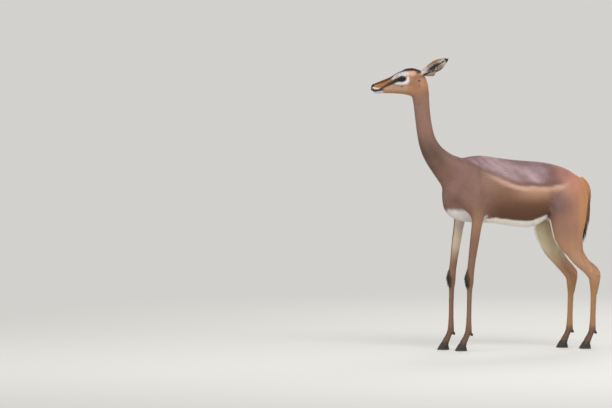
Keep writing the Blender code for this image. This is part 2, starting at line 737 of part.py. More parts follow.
def ear(side):
    """A leaf-shaped cup: each ring goes round the back from rim to rim and returns inside the cup."""
    root, along, opens = ear_axis(side)
    root = root + along * (GAP + EAR_STUMP)
    across = along.cross(opens)
    rows = np.array([(at * EAR_LENGTH, 0, 0, *rest) for at, *rest in EAR])
    steps = np.linspace(-1, 1, 10)
    rings = []
    for far, _, _, half, depth, thick, curl, solid in through(rows, 14):
        bulge = 0.010 * math.sin(math.pi * min(far / EAR_LENGTH, 1))
        flare = 0.05 * max(far - 0.3 * EAR_LENGTH, 0)
        middle = root + along * far - opens * (bulge - flare)
        angle = np.radians(curl) * steps
        outer = np.column_stack([half * np.sin(angle), -depth * np.cos(angle)])
        inner = np.column_stack([(half - thick) * np.sin(angle), -(depth - thick) * np.cos(angle)])
        rim = outer[-1]
        chord = np.column_stack([rim[0] * 0.97 * steps, rim[1] + 0.0110 * (1 - steps**2)])
        inner = inner + (chord - inner) * solid
        outline = np.vstack([outer, inner[::-1]])
        rings.append([middle + across * c + opens * o for c, o in outline])
    made = mesh_object(f"ear_{side}", rings)
    made.data.transform(head_place())
    return made


# Hooves

HOOF = (
    # share of the height, reach ahead to the toe and back to the heel, share of the width
    (0.00, 0.0330, 0.0190, 1.00),
    (0.35, 0.0275, 0.0185, 1.00),
    (0.70, 0.0210, 0.0175, 0.96),
    (1.00, 0.0158, 0.0162, 0.91),
)


def hoof(pair, side, inner):
    """One claw: a flat sole on the floor, a steep toe and a low heel, up to the coronet's slanted plane."""
    x, y, turn = claw_place(pair, side, inner)
    angle = np.arange(14) * 2 * math.pi / 14
    rings = []
    c, s = np.cos(angle), np.sin(angle)
    for up, toe, heel, wide in HOOF:
        ahead = np.where(c > 0, toe * np.abs(c) ** 1.15, -heel * np.abs(c) ** 0.9)
        width = HOOF_WIDTH / 2 * wide * np.sign(s) * np.abs(s) ** np.where(c > 0, 1.25, 0.85)
        top = CORONET + CORONET_SLOPE * ahead
        rings.append(np.column_stack([-ahead, width, up * top]))
    which = "inner" if inner < 0 else "outer"
    made = mesh_object(f"hoof_{pair}_{side}_{which}", rings)
    made.data.transform(Matrix.Translation((x, y, 0)) @ Matrix.Rotation(turn, 4, "Z"))
    return made


def claw_place(pair, side, inner):
    """Where a claw stands under its pastern."""
    x, y = (FORELEGS if pair == "fore" else HINDLEGS)[side]["fetlock"]
    return x - CLAW_AHEAD, (y + CLAW_APART * inner) * SIDES[side], math.radians(-3) * inner * SIDES[side]


def foot_cutter(pair, side):
    """Everything below the slanted plane just above the hooves, under one leg."""
    x, y, _ = claw_place(pair, side, 0)
    corners = []
    for ahead in (-0.07, 0.07):
        for wide in (-0.05, 0.05):
            corners.append((x - ahead, y + wide, CORONET + CORONET_SLOPE * ahead + GAP * 1.15))
            corners.append((x - ahead, y + wide, -0.05))
    return block(corners)


# Locks: the tail's tuft and the brushes of the knees

def lock(name, root, lie, flat, length, width, bend):
    """A flat tapered lock of hair, its root sunk in and its pointed tip moved from its lie by the bend."""
    lie, bend = Vector(lie).normalized(), Vector(bend)
    flat = Vector(flat)
    flat = (flat - lie * flat.dot(lie)).normalized()
    rings = []
    for part, wide, thick in ((0, 0.8, 1.0), (0.45, 1.0, 0.85), (0.8, 0.6, 0.5), (1, 0.10, 0.2)):
        at = Vector(root) + lie * length * part + bend * part**2
        way = (lie * length + bend * 2 * part).normalized()
        side = way.cross(flat).normalized()
        w, t = width / 2 * wide, width * 0.30 * thick
        rings.append([at + side * w, at + flat * t, at - side * w, at - flat * t])
    return mesh_object(name, rings)


def tail_locks():
    rows = through(TAIL, 60)
    rng = np.random.default_rng(5)
    made = []
    for k in range(TAIL_LOCKS):
        share = k / (TAIL_LOCKS - 1)
        row = rows[int(30 + 27 * share)]
        around = k * 2.4
        out = Vector((math.cos(around), math.sin(around), 0))
        root = Vector(row[:3]) + out * row[3] * 0.25
        length = 0.075 + 0.018 * rng.uniform(-1, 1) - 0.006 * share
        lie = Vector((-0.14, 0, -1)) + out * 0.16
        bend = out * -0.006 + Vector((-0.004, 0, 0))
        made.append(lock(f"lock_tail_{k}", root, lie, out, length, TAIL_LOCK_WIDTH, bend))
    return made


def knee_locks(side):
    """The short dark brush on the front of the knee, lying down the leg."""
    x, y = FORELEGS[side]["knee"]
    rng = np.random.default_rng(9)
    made = []
    for row in range(3):
        for k in (-1, 0, 1):
            around = math.radians(36 * k + (16 if row % 2 else 0))
            out = Vector((-math.cos(around), math.sin(around), 0))
            root = Vector((x, y * SIDES[side], KNEE_HEIGHT + 0.020 - 0.014 * row)) + out * 0.0155
            length = 0.033 + 0.004 * rng.uniform(-1, 1)
            lie = Vector((0, 0, -1)) + out * 0.34
            made.append(lock(f"lock_knee_{row}_{k}", root, lie, out, length, KNEE_LOCK_WIDTH, out * -0.004))
    return made


def grown(node, locks):
    """Fuses the locks into their node by one union."""
    bed = bpy.data.collections.new("locks")
    bpy.context.scene.collection.children.link(bed)
    for one in locks:
        bed.objects.link(one)
    union = node.modifiers.new("locks", "BOOLEAN")
    union.operation = "UNION"
    union.operand_type = "COLLECTION"
    union.collection = bed
    taken(node)
    for one in locks:
        bpy.data.objects.remove(one)
    bpy.data.collections.remove(bed)
    return largest(node)


# Fewer faces, most of them kept where the form is finest

def thinned(body):
    """Each stretch of height in turn is thinned to the triangles that it keeps, the rest left alone."""
    for low, high, kept in STRETCHES:
        mesh = body.data
        points = coordinates(mesh)
        inside = (points[:, 2] >= low) & (points[:, 2] < high)
        mesh.calc_loop_triangles()
        corners = np.empty(len(mesh.loop_triangles) * 3, int)
        mesh.loop_triangles.foreach_get("vertices", corners)
        own = inside[corners.reshape(-1, 3)].all(axis=1).sum()
        group = body.vertex_groups.new(name="thinning")
        group.add(np.flatnonzero(inside).tolist(), 1.0, "REPLACE")
        thin = body.modifiers.new("thin", "DECIMATE")
        thin.ratio = 1 - (own - kept) / len(mesh.loop_triangles)
        thin.vertex_group = "thinning"
        thin.vertex_group_factor = 10.0
        taken(body)
        body.vertex_groups.clear()
    return body


# Where the body is parted

def leg_block(pair, side):
    s = SIDES[side]
    if pair == "fore":
        ends = ((-0.28, -0.28), (0.035, 0.035))
        low, high, reach = (0.0, 0.535), (0.105, 0.668), 0.18
    else:
        start = 0.272 if side == "left" else 0.236
        ends = ((start - 0.26, start + 0.095), (0.62, 0.62))
        low, high, reach = (0.006, 0.548), (0.102, 0.815), 0.20
    corners = []
    for at_floor, at_top in ends:
        for y, z in ((low[0], -0.1), (reach, -0.1), low, high, (reach, high[1])):
            x = at_floor + (at_top - at_floor) * (z + 0.1) / (high[1] + 0.1)
            corners.append((x, y * s, z))
    return corners


TAIL_OUTLINE = ((0.4925, 0.742), (0.58, 0.774), (0.455, 0.45), (0.58, 0.45))
TAIL_BLOCK = [(x, y, z) for y in (-0.03, 0.03) for x, z in TAIL_OUTLINE]
EAR_CUT_WIDTH = 0.0165
EAR_CUT_REACH = 0.030
NAPE = Vector((-0.088, 0, -0.064))  # in the head's frame, with the way the neck's end faces
NAPE_WAY = Vector((0.40, 0, 0.917))
CHEST = Vector((-0.215, 0, 0.872))
CHEST_WAY = Vector((-0.74, 0, 0.67))
ABOVE_KNEE = 0.040
ABOVE_HOCK = 0.062


def level_block(x, y, height):
    """Everything of one leg below a level."""
    return [(x + a, y + b, z) for a in (-0.12, 0.12) for b in (-0.055, 0.055) for z in (-0.1, height)]


def divided(body):
    """Parts the fused body into its nodes, from the ends inwards."""
    place = head_place()
    nodes = []
    for side in SIDES:
        root, along, _ = ear_axis(side)
        corners = slab(root + along * EAR_STUMP, along, EAR_CUT_WIDTH, EAR_CUT_REACH)
        removed(body, block([place @ c for c in corners]))
    corners = slab(NAPE, NAPE_WAY, 0.30, 0.30)
    nodes.append(parted(body, "head", [place @ c for c in corners]))
    nodes.append(parted(body, "neck", slab(CHEST, CHEST_WAY, 0.30, 0.60)))
    nodes.append(parted(body, "tail", TAIL_BLOCK))
    for side in SIDES:
        for pair, joints in (("fore", FORELEGS[side]), ("hind", HINDLEGS[side])):
            removed(body, foot_cutter(pair, side))
            leg = parted(body, f"{pair}leg_{side}", leg_block(pair, side))
            middle = joints["knee"] if pair == "fore" else joints["hock"]
            height = KNEE_HEIGHT + ABOVE_KNEE if pair == "fore" else HOCK_HEIGHT + ABOVE_HOCK
            below = level_block(middle[0] - 0.02, middle[1] * SIDES[side], height)
            lower = parted(leg, f"{pair}leg_{side}_lower", below)
            leg.name = f"{pair}leg_{side}_upper"
            nodes += [largest(leg), lower]
    body.name = "torso"
    nodes.append(largest(body))
    return {node.name: node for node in nodes}


FINISHES = {
    # node's first word: base colour (linear) and roughness
    "torso": ((0.26, 0.115, 0.066), 0.85),
    "neck": ((0.31, 0.155, 0.098), 0.85),
    "head": ((0.36, 0.20, 0.13), 0.80),
    "ear": ((0.42, 0.27, 0.17), 0.85),
    "tail": ((0.10, 0.055, 0.04), 0.80),
    "foreleg": ((0.27, 0.13, 0.08), 0.85),
    "hindleg": ((0.33, 0.16, 0.09), 0.85),
    "hoof": ((0.02, 0.017, 0.015), 0.45),
    "eye": ((0.012, 0.008, 0.006), 0.08),
}


def finished(node):
    """Gives the node a material of its own."""
    colour, roughness = FINISHES[node.name.split("_")[0]]
    material = bpy.data.materials.new(f"finish_{node.name}")
    material.use_nodes = True
    material.diffuse_color = (*colour, 1)
    shader = material.node_tree.nodes["Principled BSDF"]
    shader.inputs["Base Color"].default_value = (*colour, 1)
    shader.inputs["Roughness"].default_value = roughness
    node.data.materials.clear()
    node.data.materials.append(material)


def main():
    for old in list(bpy.data.objects):
        bpy.data.objects.remove(old)
    body = thinned(smoothed(fused(all_forms(), VOXEL)))
    nodes = divided(body)
    removed(nodes["head"], *head_cutters())
    largest(nodes["head"])
    grown(nodes["tail"], tail_locks())
    for side, s in SIDES.items():
        grown(nodes[f"foreleg_{side}_lower"], knee_locks(side))
        nodes[f"ear_{side}"] = ear(side)
        eye = lump(f"eye_{side}", (0, -EYE_SIDE * s, 0), [EYE_RADIUS] * 3, around=EYE_SIDES)
        eye.data.transform(head_place())
        nodes[eye.name] = eye
        for pair in ("fore", "hind"):
            for inner in (-1, 1):
                claw = hoof(pair, side, inner)
                nodes[claw.name] = claw
    shelf = bpy.data.collections.new("gerenuk")
    bpy.context.scene.collection.children.link(shelf)
    points = np.vstack([coordinates(node.data) for node in nodes.values()])
    low, high = points.min(axis=0), points.max(axis=0)
    centre = Vector(((low[0] + high[0]) / 2, (low[1] + high[1]) / 2, 0))
    for node in nodes.values():
        node.data.transform(Matrix.Translation(-centre))
        node.data.shade_smooth()
        finished(node)
        bpy.context.scene.collection.objects.unlink(node)
        shelf.objects.link(node)


main()
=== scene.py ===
import math

import bmesh
import bpy
import numpy as np
from mathutils import Matrix, Vector
from mathutils.bvhtree import BVHTree


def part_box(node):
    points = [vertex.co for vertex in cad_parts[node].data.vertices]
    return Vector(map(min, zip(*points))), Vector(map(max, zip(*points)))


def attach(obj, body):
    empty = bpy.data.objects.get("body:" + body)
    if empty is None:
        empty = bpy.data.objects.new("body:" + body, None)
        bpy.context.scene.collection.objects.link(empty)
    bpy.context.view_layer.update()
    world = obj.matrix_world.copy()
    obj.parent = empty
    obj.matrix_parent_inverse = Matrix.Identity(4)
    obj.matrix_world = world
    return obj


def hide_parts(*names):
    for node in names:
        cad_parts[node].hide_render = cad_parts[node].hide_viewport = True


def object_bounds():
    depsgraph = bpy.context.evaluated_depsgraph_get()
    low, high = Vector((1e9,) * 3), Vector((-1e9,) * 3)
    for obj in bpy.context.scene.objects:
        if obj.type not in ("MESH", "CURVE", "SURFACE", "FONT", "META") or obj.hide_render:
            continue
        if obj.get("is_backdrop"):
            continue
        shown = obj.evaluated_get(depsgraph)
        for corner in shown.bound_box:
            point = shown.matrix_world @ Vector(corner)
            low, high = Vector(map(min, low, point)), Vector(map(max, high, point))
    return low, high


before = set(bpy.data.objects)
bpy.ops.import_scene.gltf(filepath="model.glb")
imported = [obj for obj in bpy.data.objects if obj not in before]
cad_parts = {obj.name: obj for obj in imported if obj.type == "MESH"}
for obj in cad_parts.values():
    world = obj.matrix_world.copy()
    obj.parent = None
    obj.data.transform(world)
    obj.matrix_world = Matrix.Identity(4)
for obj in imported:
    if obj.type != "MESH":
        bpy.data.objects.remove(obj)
cad_low, cad_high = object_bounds()
stage = bpy.context.scene.collection

# The view. She is seen side on from far off through a long lens, turned a little away, from just above her
# back. The photograph is 612 pixels wide, and a metre at her body spans 214 of them.
PHOTO_WIDTH = 612
PIXELS_PER_METRE = 214
CAMERA_TURN, CAMERA_RISE = math.radians(-17), math.radians(2)
CAMERA_DISTANCE = 25.0
SENSOR_WIDTH = 36.0
AIM = Vector((-0.808, 0.235, 0.682))  # what the middle of the photograph looks at, in front of her chest


def placed(name, data):
    """An object of this name in the scene, at its origin."""
    made = bpy.data.objects.new(name, data)
    stage.objects.link(made)
    return made


lens = bpy.data.cameras.new("long_lens")
lens.sensor_width = SENSOR_WIDTH
lens.lens = SENSOR_WIDTH * CAMERA_DISTANCE * PIXELS_PER_METRE / PHOTO_WIDTH
lens.clip_end = 400
camera = placed("camera", lens)
to_camera = Vector((
    math.sin(CAMERA_TURN) * math.cos(CAMERA_RISE),
    -math.cos(CAMERA_TURN) * math.cos(CAMERA_RISE),
    math.sin(CAMERA_RISE),
))
camera.location = AIM + to_camera * CAMERA_DISTANCE
camera.rotation_euler = (-to_camera).to_track_quat("-Z", "Y").to_euler()
bpy.context.scene.camera = camera


# The studio. A pale floor that runs out into the pale air round it, lit by a large soft lamp high on her
# near side, a broad weak one from in front of her and one behind her for the edge of the back.
def linear(code):
    """An sRGB hex value as linear red, green and blue."""
    parts = (int(code[k : k + 2], 16) / 255 for k in (1, 3, 5))
    return tuple(c / 12.92 if c <= 0.04045 else ((c + 0.055) / 1.055) ** 2.4 for c in parts)


def opaque(code):
    return (*linear(code), 1)


def node(tree, kind, links=None, **settings):
    """Adds a node with its settings. An input takes a value, an output, or a node for its first output."""
    made = tree.nodes.new(kind)
    for name, value in settings.items():
        setattr(made, name, value)
    for name, value in (links or {}).items():
        if isinstance(value, bpy.types.Node):
            value = value.outputs[0]
        if isinstance(value, bpy.types.NodeSocket):
            tree.links.new(value, made.inputs[name])
        else:
            made.inputs[name].default_value = value
    return made


def finish(name, settings):
    """A material with the settings of its shader, and its tree and shader."""
    made = bpy.data.materials.new(name)
    made.use_nodes = True
    shader = made.node_tree.nodes["Principled BSDF"]
    for setting, value in settings.items():
        shader.inputs[setting].default_value = value
    return made, made.node_tree, shader


def as_mesh(name, drawn):
    """The drawn shape as a mesh."""
    mesh = bpy.data.meshes.new(name)
    drawn.to_mesh(mesh)
    drawn.free()
    return mesh


AIR = "#e9e7e3"
AIR_STRENGTH = 0.8
FLOOR = "#d0cfcc"
FLOOR_RADIUS = 90.0
FLOOR_CLEAR, FLOOR_GONE = 0.8, 6.0  # from here to here the floor turns into the air's own tone

air = bpy.data.worlds.new("soft_air")
air.use_nodes = True
air.node_tree.nodes["Background"].inputs["Color"].default_value = opaque(AIR)
air.node_tree.nodes["Background"].inputs["Strength"].default_value = AIR_STRENGTH
bpy.context.scene.world = air
bpy.context.scene.view_settings.view_transform = "Standard"

ground = bmesh.new()
bmesh.ops.create_circle(ground, cap_ends=True, segments=96, radius=FLOOR_RADIUS)
floor = placed("floor", as_mesh("floor", ground))
# Matt studio paint, with no gloss that would mirror her feet
paint, tree, shader = finish("painted_floor", {"Base Color": opaque(FLOOR), "Roughness": 0.9})
place = node(tree, "ShaderNodeTexCoord")
reach = node(tree, "ShaderNodeVectorMath", {0: place.outputs["Object"]}, operation="LENGTH")
fade = node(
    tree,
    "ShaderNodeMapRange",
    {"Value": reach.outputs["Value"], "From Min": FLOOR_CLEAR, "From Max": FLOOR_GONE},
    interpolation_type="SMOOTHSTEP",
)
glow = node(tree, "ShaderNodeEmission", {"Color": opaque(AIR), "Strength": AIR_STRENGTH})
blend = node(tree, "ShaderNodeMixShader", {0: fade, 1: shader, 2: glow})
tree.links.new(blend.outputs[0], tree.nodes["Material Output"].inputs["Surface"])
floor.data.materials.append(paint)
floor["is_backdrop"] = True

LAMPS = (
    # name, where it hangs, size, power
    ("key", (0.4, -4.4, 4.8), 3.2, 225),
    ("front", (-5.0, -0.6, 2.2), 3.0, 55),
    ("back", (2.6, 4.4, 3.8), 2.4, 120),
)
for name, at, size, power in LAMPS:
    lamp = bpy.data.lights.new(name, "AREA")
    lamp.size = size
    lamp.energy = power
    held = placed(name, lamp)
    held.location = at
    held.rotation_euler = (Vector((0, 0, 0.8)) - Vector(at)).to_track_quat("-Z", "Y").to_euler()


# The skin. One hide covers her from nose to hooves: the CAD pieces of flesh are fused and drawn in by the
# depth of the coat, with the head finer than the body and sewn to it in the upper neck. The tail's core is
# made here, without the locks that its CAD node carries, and the knees are cleared of theirs.
HIDE = [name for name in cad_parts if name.split("_")[0] not in ("eye", "hoof")]
HEAD_NODES = ("head", "ear_left", "ear_right", "neck")
SWELL = 0.0005  # closes the cuts between the pieces
BODY_GRAIN, HEAD_GRAIN = 0.003, 0.00125  # size of a face before it is thinned
BODY_KEPT, HEAD_KEPT = 104000, 78000  # triangles
JOIN_HEIGHT = 1.15
JOIN_GAP, JOIN_SPARE = 0.0012, 0.02  # between the rims, and how far the head's skin first runs below them
SAME_POINT = 0.00001
MIDLINE = sum(corner.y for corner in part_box("torso")) / 2
TAIL = (
    # place along the body, height and radius of the tail's core, from inside the rump to its end
    (0.4627, 0.8, 0.015),
    (0.4867, 0.781, 0.0145),
    (0.5032, 0.754, 0.0125),
    (0.5097, 0.715, 0.0105),
    (0.5055, 0.67, 0.0088),
    (0.4955, 0.62, 0.0074),
    (0.485, 0.57, 0.0062),
    (0.479, 0.54, 0.004),
)
KNEES = ((-0.1053, -0.0754), (-0.1534, 0.0466))  # where her left and right knees stand
KNEE_FRONT = (
    # height, reach of the bare leg ahead of its middle
    (0.262, 0.015),
    (0.289, 0.015),
    (0.318, 0.0188),
    (0.338, 0.0208),
    (0.367, 0.019),
    (0.4, 0.0186),
)


def settled(piece):
    """The piece as a plain mesh with its modifiers applied."""
    graph = bpy.context.evaluated_depsgraph_get()
    mesh = bpy.data.meshes.new_from_object(piece.evaluated_get(graph))
    piece.modifiers.clear()
    piece.data = mesh
    return piece


def tail_core():
    """The tail's core as a tube with a rounded path."""
    curve = bpy.data.curves.new("tail_core", "CURVE")
    curve.dimensions = "3D"
    curve.bevel_depth = 1.0
    curve.bevel_resolution = 6
    curve.use_fill_caps = True
    run = curve.splines.new("NURBS")
    run.points.add(len(TAIL) - 1)
    run.use_endpoint_u = True
    run.order_u = 3
    for point, (along, height, radius) in zip(run.points, TAIL):
        point.co = (along, MIDLINE, height, 1)
        point.radius = radius
    made = placed("tail_core", curve)
    mesh = bpy.data.meshes.new_from_object(made.evaluated_get(bpy.context.evaluated_depsgraph_get()))
    bpy.data.objects.remove(made)
    return mesh


def fused(name, parts, grain, clip=None):
    """The meshes as one closed skin of small even faces, only above the clip height if there is one."""
    whole = bmesh.new()
    for part in parts:
        loose = bmesh.new()
        loose.from_mesh(part)
        bmesh.ops.remove_doubles(loose, verts=loose.verts, dist=SAME_POINT)
        loose.normal_update()
        for vert in loose.verts:
            vert.co += vert.normal * SWELL
        mesh = as_mesh("part", loose)
        whole.from_mesh(mesh)
        bpy.data.meshes.remove(mesh)
    if clip:
        cut = whole.verts[:] + whole.edges[:] + whole.faces[:]
        bmesh.ops.bisect_plane(whole, geom=cut, plane_co=(0, 0, clip), plane_no=(0, 0, 1), clear_inner=True)
        bmesh.ops.holes_fill(whole, edges=[edge for edge in whole.edges if edge.is_boundary])
    made = placed(name, as_mesh(name, whole))
    remesh = made.modifiers.new("fuse", "REMESH")
    remesh.mode = "VOXEL"
    remesh.voxel_size = grain
    return settled(made)


def points_of(mesh):
    found = np.empty(len(mesh.vertices) * 3)
    mesh.vertices.foreach_get("co", found)
    return found.reshape(-1, 3)


def normals_of(mesh):
    found = np.empty(len(mesh.vertices) * 3)
    mesh.vertex_normals.foreach_get("vector", found)
    return found.reshape(-1, 3)


def relaxed(values, mesh, share, rounds):
    """Each vertex's values drawn to the mean of its neighbours' by its own share, again and again."""
    ends = np.empty(len(mesh.edges) * 2, int)
    mesh.edges.foreach_get("vertices", ends)
    a, b = ends.reshape(-1, 2).T
    size = len(values)
    count = np.bincount(a, minlength=size) + np.bincount(b, minlength=size)
    for _ in range(rounds):
        for k in range(values.shape[1]):
            column = values[:, k]
            total = np.bincount(a, column[b], size) + np.bincount(b, column[a], size)
            values[:, k] = column + share * (total / count - column)
    return values


def ramp(value, low, high):
    """Rises smoothly from 0 at low to 1 at high. Where low is the larger, it falls instead."""
    t = np.clip((value - low) / (high - low), 0, 1)
    return t * t * (3 - 2 * t)


def moved(piece, points):
    piece.data.vertices.foreach_set("co", points.ravel())
    piece.data.update()
    return piece


def thinned(piece, kept):
    piece.data.calc_loop_triangles()
    thin = piece.modifiers.new("thin", "DECIMATE")
    thin.ratio = kept / len(piece.data.loop_triangles)
    return settled(piece)


def softened(points, mesh, share, width, grain):
    """Rounds off what is smaller than the width, in proportion to each vertex's share."""
    rounds = math.ceil(width**2 / (0.25 * grain**2))
    return relaxed(points, mesh, 0.5 * share, rounds)


def owners(points):
    """The CAD piece that each point lies nearest to."""
    corners, faces, names = [], [], []
    for name in HIDE:
        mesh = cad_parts[name].data
        start = len(corners)
        corners += [vert.co for vert in mesh.vertices]
        faces += [[start + k for k in face.vertices] for face in mesh.polygons]
        names += [name] * len(mesh.polygons)
    hull = BVHTree.FromPolygons(corners, faces)
    return np.array([names[hull.find_nearest(point)[2]] for point in points])


# Where the head stands: its own frame runs from midway between the eyes, ahead, to her left and up.
eye_left, eye_right = ((low + high) / 2 for low, high in (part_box("eye_left"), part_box("eye_right")))
FACE = (eye_left + eye_right) / 2
LEFTWARD = (eye_left - eye_right).normalized()
UPWARD = Vector((0, 0, 1))
AHEAD = LEFTWARD.cross(UPWARD)
face_axes = np.array((AHEAD, LEFTWARD, UPWARD))
EYE_SIDE = (eye_left - eye_right).length / 2
EYE_RADIUS = (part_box("eye_left")[1].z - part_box("eye_left")[0].z) / 2
EYE_ZONE, NOSE_ZONE = 0.024, 0.126  # round the eye's middle, and ahead of it, the fine forms are kept
ZONE_EDGE = 0.01
MOUTH_CORNER, MOUTH_MIDDLE = 0.078, 0.09  # ahead of the eyes
MOUTH_BELOW, MOUTH_SLOPE = 0.052, 0.1  # how far below them its middle lies, and its fall to the front
BRUSH_REACH = 0.05  # how far the CAD model's knee brushes stand out at most
# Forms smaller than these are rounded off: on the trunk, on the whole body, on the face and on all the head
TRUNK_ROUND, BODY_ROUND, FACE_ROUND, HEAD_ROUND = 0.009, 0.0025, 0.0042, 0.0009

meshes = {name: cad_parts[name].data for name in HIDE if name != "tail"}
body = fused("gerenuk_skin", [*meshes.values(), tail_core()], BODY_GRAIN)
points = points_of(body.data)
heights, reach = zip(*KNEE_FRONT)
bare = np.interp(points[:, 2], heights, reach)
at_knee = (points[:, 2] > heights[0]) & (points[:, 2] < heights[-1])
for knee in KNEES:
    from_knee = points[:, :2] - knee
    far = np.maximum(np.hypot(*from_knee.T), 0.001)
    brush = at_knee & (from_knee[:, 0] < 0) & (far > bare) & (far < BRUSH_REACH)
    points[:, :2] = knee + from_knee * np.where(brush, bare / far, 1)[:, None]
trunk = ramp(points[:, 2], 0.5, 0.62) * (1 - 0.5 * ramp(points[:, 2], 1.0, 1.12))
points = softened(points, body.data, trunk, TRUNK_ROUND, BODY_GRAIN)
points = softened(points, body.data, np.ones(len(points)), BODY_ROUND, BODY_GRAIN)
moved(body, points)

head = fused("head_skin", [meshes[name] for name in HEAD_NODES], HEAD_GRAIN, JOIN_HEIGHT - JOIN_SPARE)
points = points_of(head.data)
at_face = (points - FACE) @ face_axes.T
owner = owners(points)
thin_ear = np.char.startswith(owner, "ear")
from_eye = np.linalg.norm(at_face * (1, 0, 1), axis=1)
ahead_of_eye, above_eye = at_face[:, 0], at_face[:, 2]
beside_mouth = np.abs(above_eye + MOUTH_BELOW + MOUTH_SLOPE * (ahead_of_eye - MOUTH_MIDDLE))
beside_mouth = beside_mouth + np.clip(MOUTH_CORNER - ahead_of_eye, 0, 1)
plain = ramp(from_eye, EYE_ZONE, EYE_ZONE + ZONE_EDGE)
plain = plain * (1 - ramp(ahead_of_eye, NOSE_ZONE - 0.012, NOSE_ZONE))
plain = plain * ramp(beside_mouth, 0.5 * ZONE_EDGE, ZONE_EDGE) * ~thin_ear
plain = relaxed(plain[:, None].astype(float), head.data, np.full(len(points), 0.5), 8)[:, 0]
points = softened(points, head.data, plain, FACE_ROUND, HEAD_GRAIN)
points = softened(points, head.data, np.ones(len(points)), HEAD_ROUND, HEAD_GRAIN)
moved(head, points)
thinned(body, BODY_KEPT)
thinned(head, HEAD_KEPT)

# The two skins are cut level in the upper neck and sewn together round the cut.
sewn = bmesh.new()
for piece, cleared in ((body, 1), (head, -1)):
    part = bmesh.new()
    part.from_mesh(piece.data)
    bmesh.ops.bisect_plane(
        part,
        geom=part.verts[:] + part.edges[:] + part.faces[:],
        plane_co=(0, 0, JOIN_HEIGHT - cleared * JOIN_GAP / 2),
        plane_no=(0, 0, cleared),
        clear_outer=True,
    )
    part.to_mesh(piece.data)
    part.free()
    sewn.from_mesh(piece.data)
rims = [edge for edge in sewn.edges if edge.is_boundary]
bmesh.ops.bridge_loops(sewn, edges=rims)
bmesh.ops.triangulate(sewn, faces=sewn.faces)
bmesh.ops.recalc_face_normals(sewn, faces=sewn.faces)
sewn.to_mesh(body.data)
sewn.free()
bpy.data.objects.remove(head)
skin = body
points = points_of(skin.data)
near_join = 1 - ramp(np.abs(points[:, 2] - JOIN_HEIGHT), 0.004, 0.016)
moved(skin, relaxed(points, skin.data, 0.5 * near_join, 12))
skin.data.shade_smooth()

# Where each point of the skin lies: which piece it covers, its place in the face's frame and in its ear
points = points_of(skin.data)
owner = owners(points)
kind = np.array([name.split("_")[0] for name in owner])
PARTS = ("torso", "neck", "head", "ear", "tail", "foreleg", "hindleg")
BLEND_ROUNDS = 80  # each part's colour runs this far into the next
evenly = np.full(len(points), 0.5)
shares = relaxed(np.array([kind == name for name in PARTS], float).T, skin.data, evenly, BLEND_ROUNDS)
part_of = dict(zip(PARTS, shares.T))


def is_part(*names):
    return np.isin(kind, names).astype(float)


def stripe(a, b, rows, soft=0.35):
    """A mask along a line of (a, b, half width), soft at its edges."""
    mask = np.zeros(len(a))
    for (a0, b0, w0), (a1, b1, w1) in zip(rows, rows[1:]):
        da, db = a1 - a0, b1 - b0
        t = np.clip(((a - a0) * da + (b - b0) * db) / (da * da + db * db), 0, 1)
        far = np.hypot(a - a0 - t * da, b - b0 - t * db) / (w0 + (w1 - w0) * t)
        mask = np.maximum(mask, 1 - ramp(far, 1 - soft, 1 + soft))
    return mask


def patch(a, b, middle, radii, soft=0.35):
    far = np.hypot((a - middle[0]) / radii[0], (b - middle[1]) / radii[1])
    return 1 - ramp(far, 1 - soft, 1 + soft)


def near_line(at, rows):
    """How far each place is from a line of points in space."""
    best = np.full(len(at), 1.0)
    rows = np.array(rows)
    for a, b in zip(rows, rows[1:]):
        t = np.clip((at - a) @ (b - a) / ((b - a) @ (b - a)), 0, 1)
        best = np.minimum(best, np.linalg.norm(at - a - t[:, None] * (b - a), axis=1))
    return best


# What the coarse forms leave out: the line of the mouth, comma-shaped nostrils, creases round the lids, the
# hollows beside the tendons of the legs and the fold of skin at the flank, all pressed into the skin
MOUTH = (
    # ahead, to the side and up in the face's frame, from the corner of the mouth to the front
    (0.083, 0.0235, -0.048),
    (0.098, 0.0215, -0.051),
    (0.113, 0.0185, -0.0545),
    (0.128, 0.0145, -0.057),
    (0.138, 0.0085, -0.0578),
    (0.142, 0.0, -0.058),
)
NOSTRIL = (
    (0.145, 0.0065, -0.0405), (0.143, 0.011, -0.037), (0.1375, 0.015, -0.0345), (0.131, 0.0165, -0.034),
)
LIDS = (
    # ahead and up from the middle of the eye, round the opening from its front corner over the top
    (0.0158, -0.0062), (0.0098, 0.0022), (0.0008, 0.0074), (-0.0084, 0.0066), (-0.015, 0.0016),
    (-0.0112, -0.0058), (-0.002, -0.0094), (0.008, -0.0096), (0.0158, -0.0062),
)
CREASES = (
    # a line of ahead, up and half width beside the eye, and how deep it is pressed
    (((0.02, -0.001, 0.0012), (0.011, 0.0078, 0.0016), (0.0, 0.0128, 0.0018), (-0.011, 0.0118, 0.0016),
      (-0.0195, 0.006, 0.0012)), 0.0011),
    (((0.016, -0.0125, 0.001), (0.004, -0.015, 0.0015), (-0.009, -0.0125, 0.0012)), 0.0007),
    (((0.024, -0.009, 0.0014), (0.04, -0.017, 0.0016)), 0.0012),
)
HOCKS = ((0.5107, 0), (0.4387, 0))  # and her left and right hocks, along the body
LEG_HOLLOWS = (
    # leg, its middle along the body, a line of ahead, up and half width, depth
    ("foreleg", KNEES, ((0.005, 0.29, 0.003), (0.0035, 0.2, 0.0034), (0.001, 0.12, 0.0028)), 0.0016),
    ("hindleg", HOCKS, ((-0.002, 0.285, 0.0032), (-0.003, 0.2, 0.0036), (-0.004, 0.12, 0.003)), 0.0017),
    ("hindleg", HOCKS, ((-0.02, 0.372, 0.007), (-0.042, 0.415, 0.008), (-0.062, 0.445, 0.006)), 0.0036),
)
THIGH_AHEAD = 0.036  # her right thigh stands this far ahead of the left
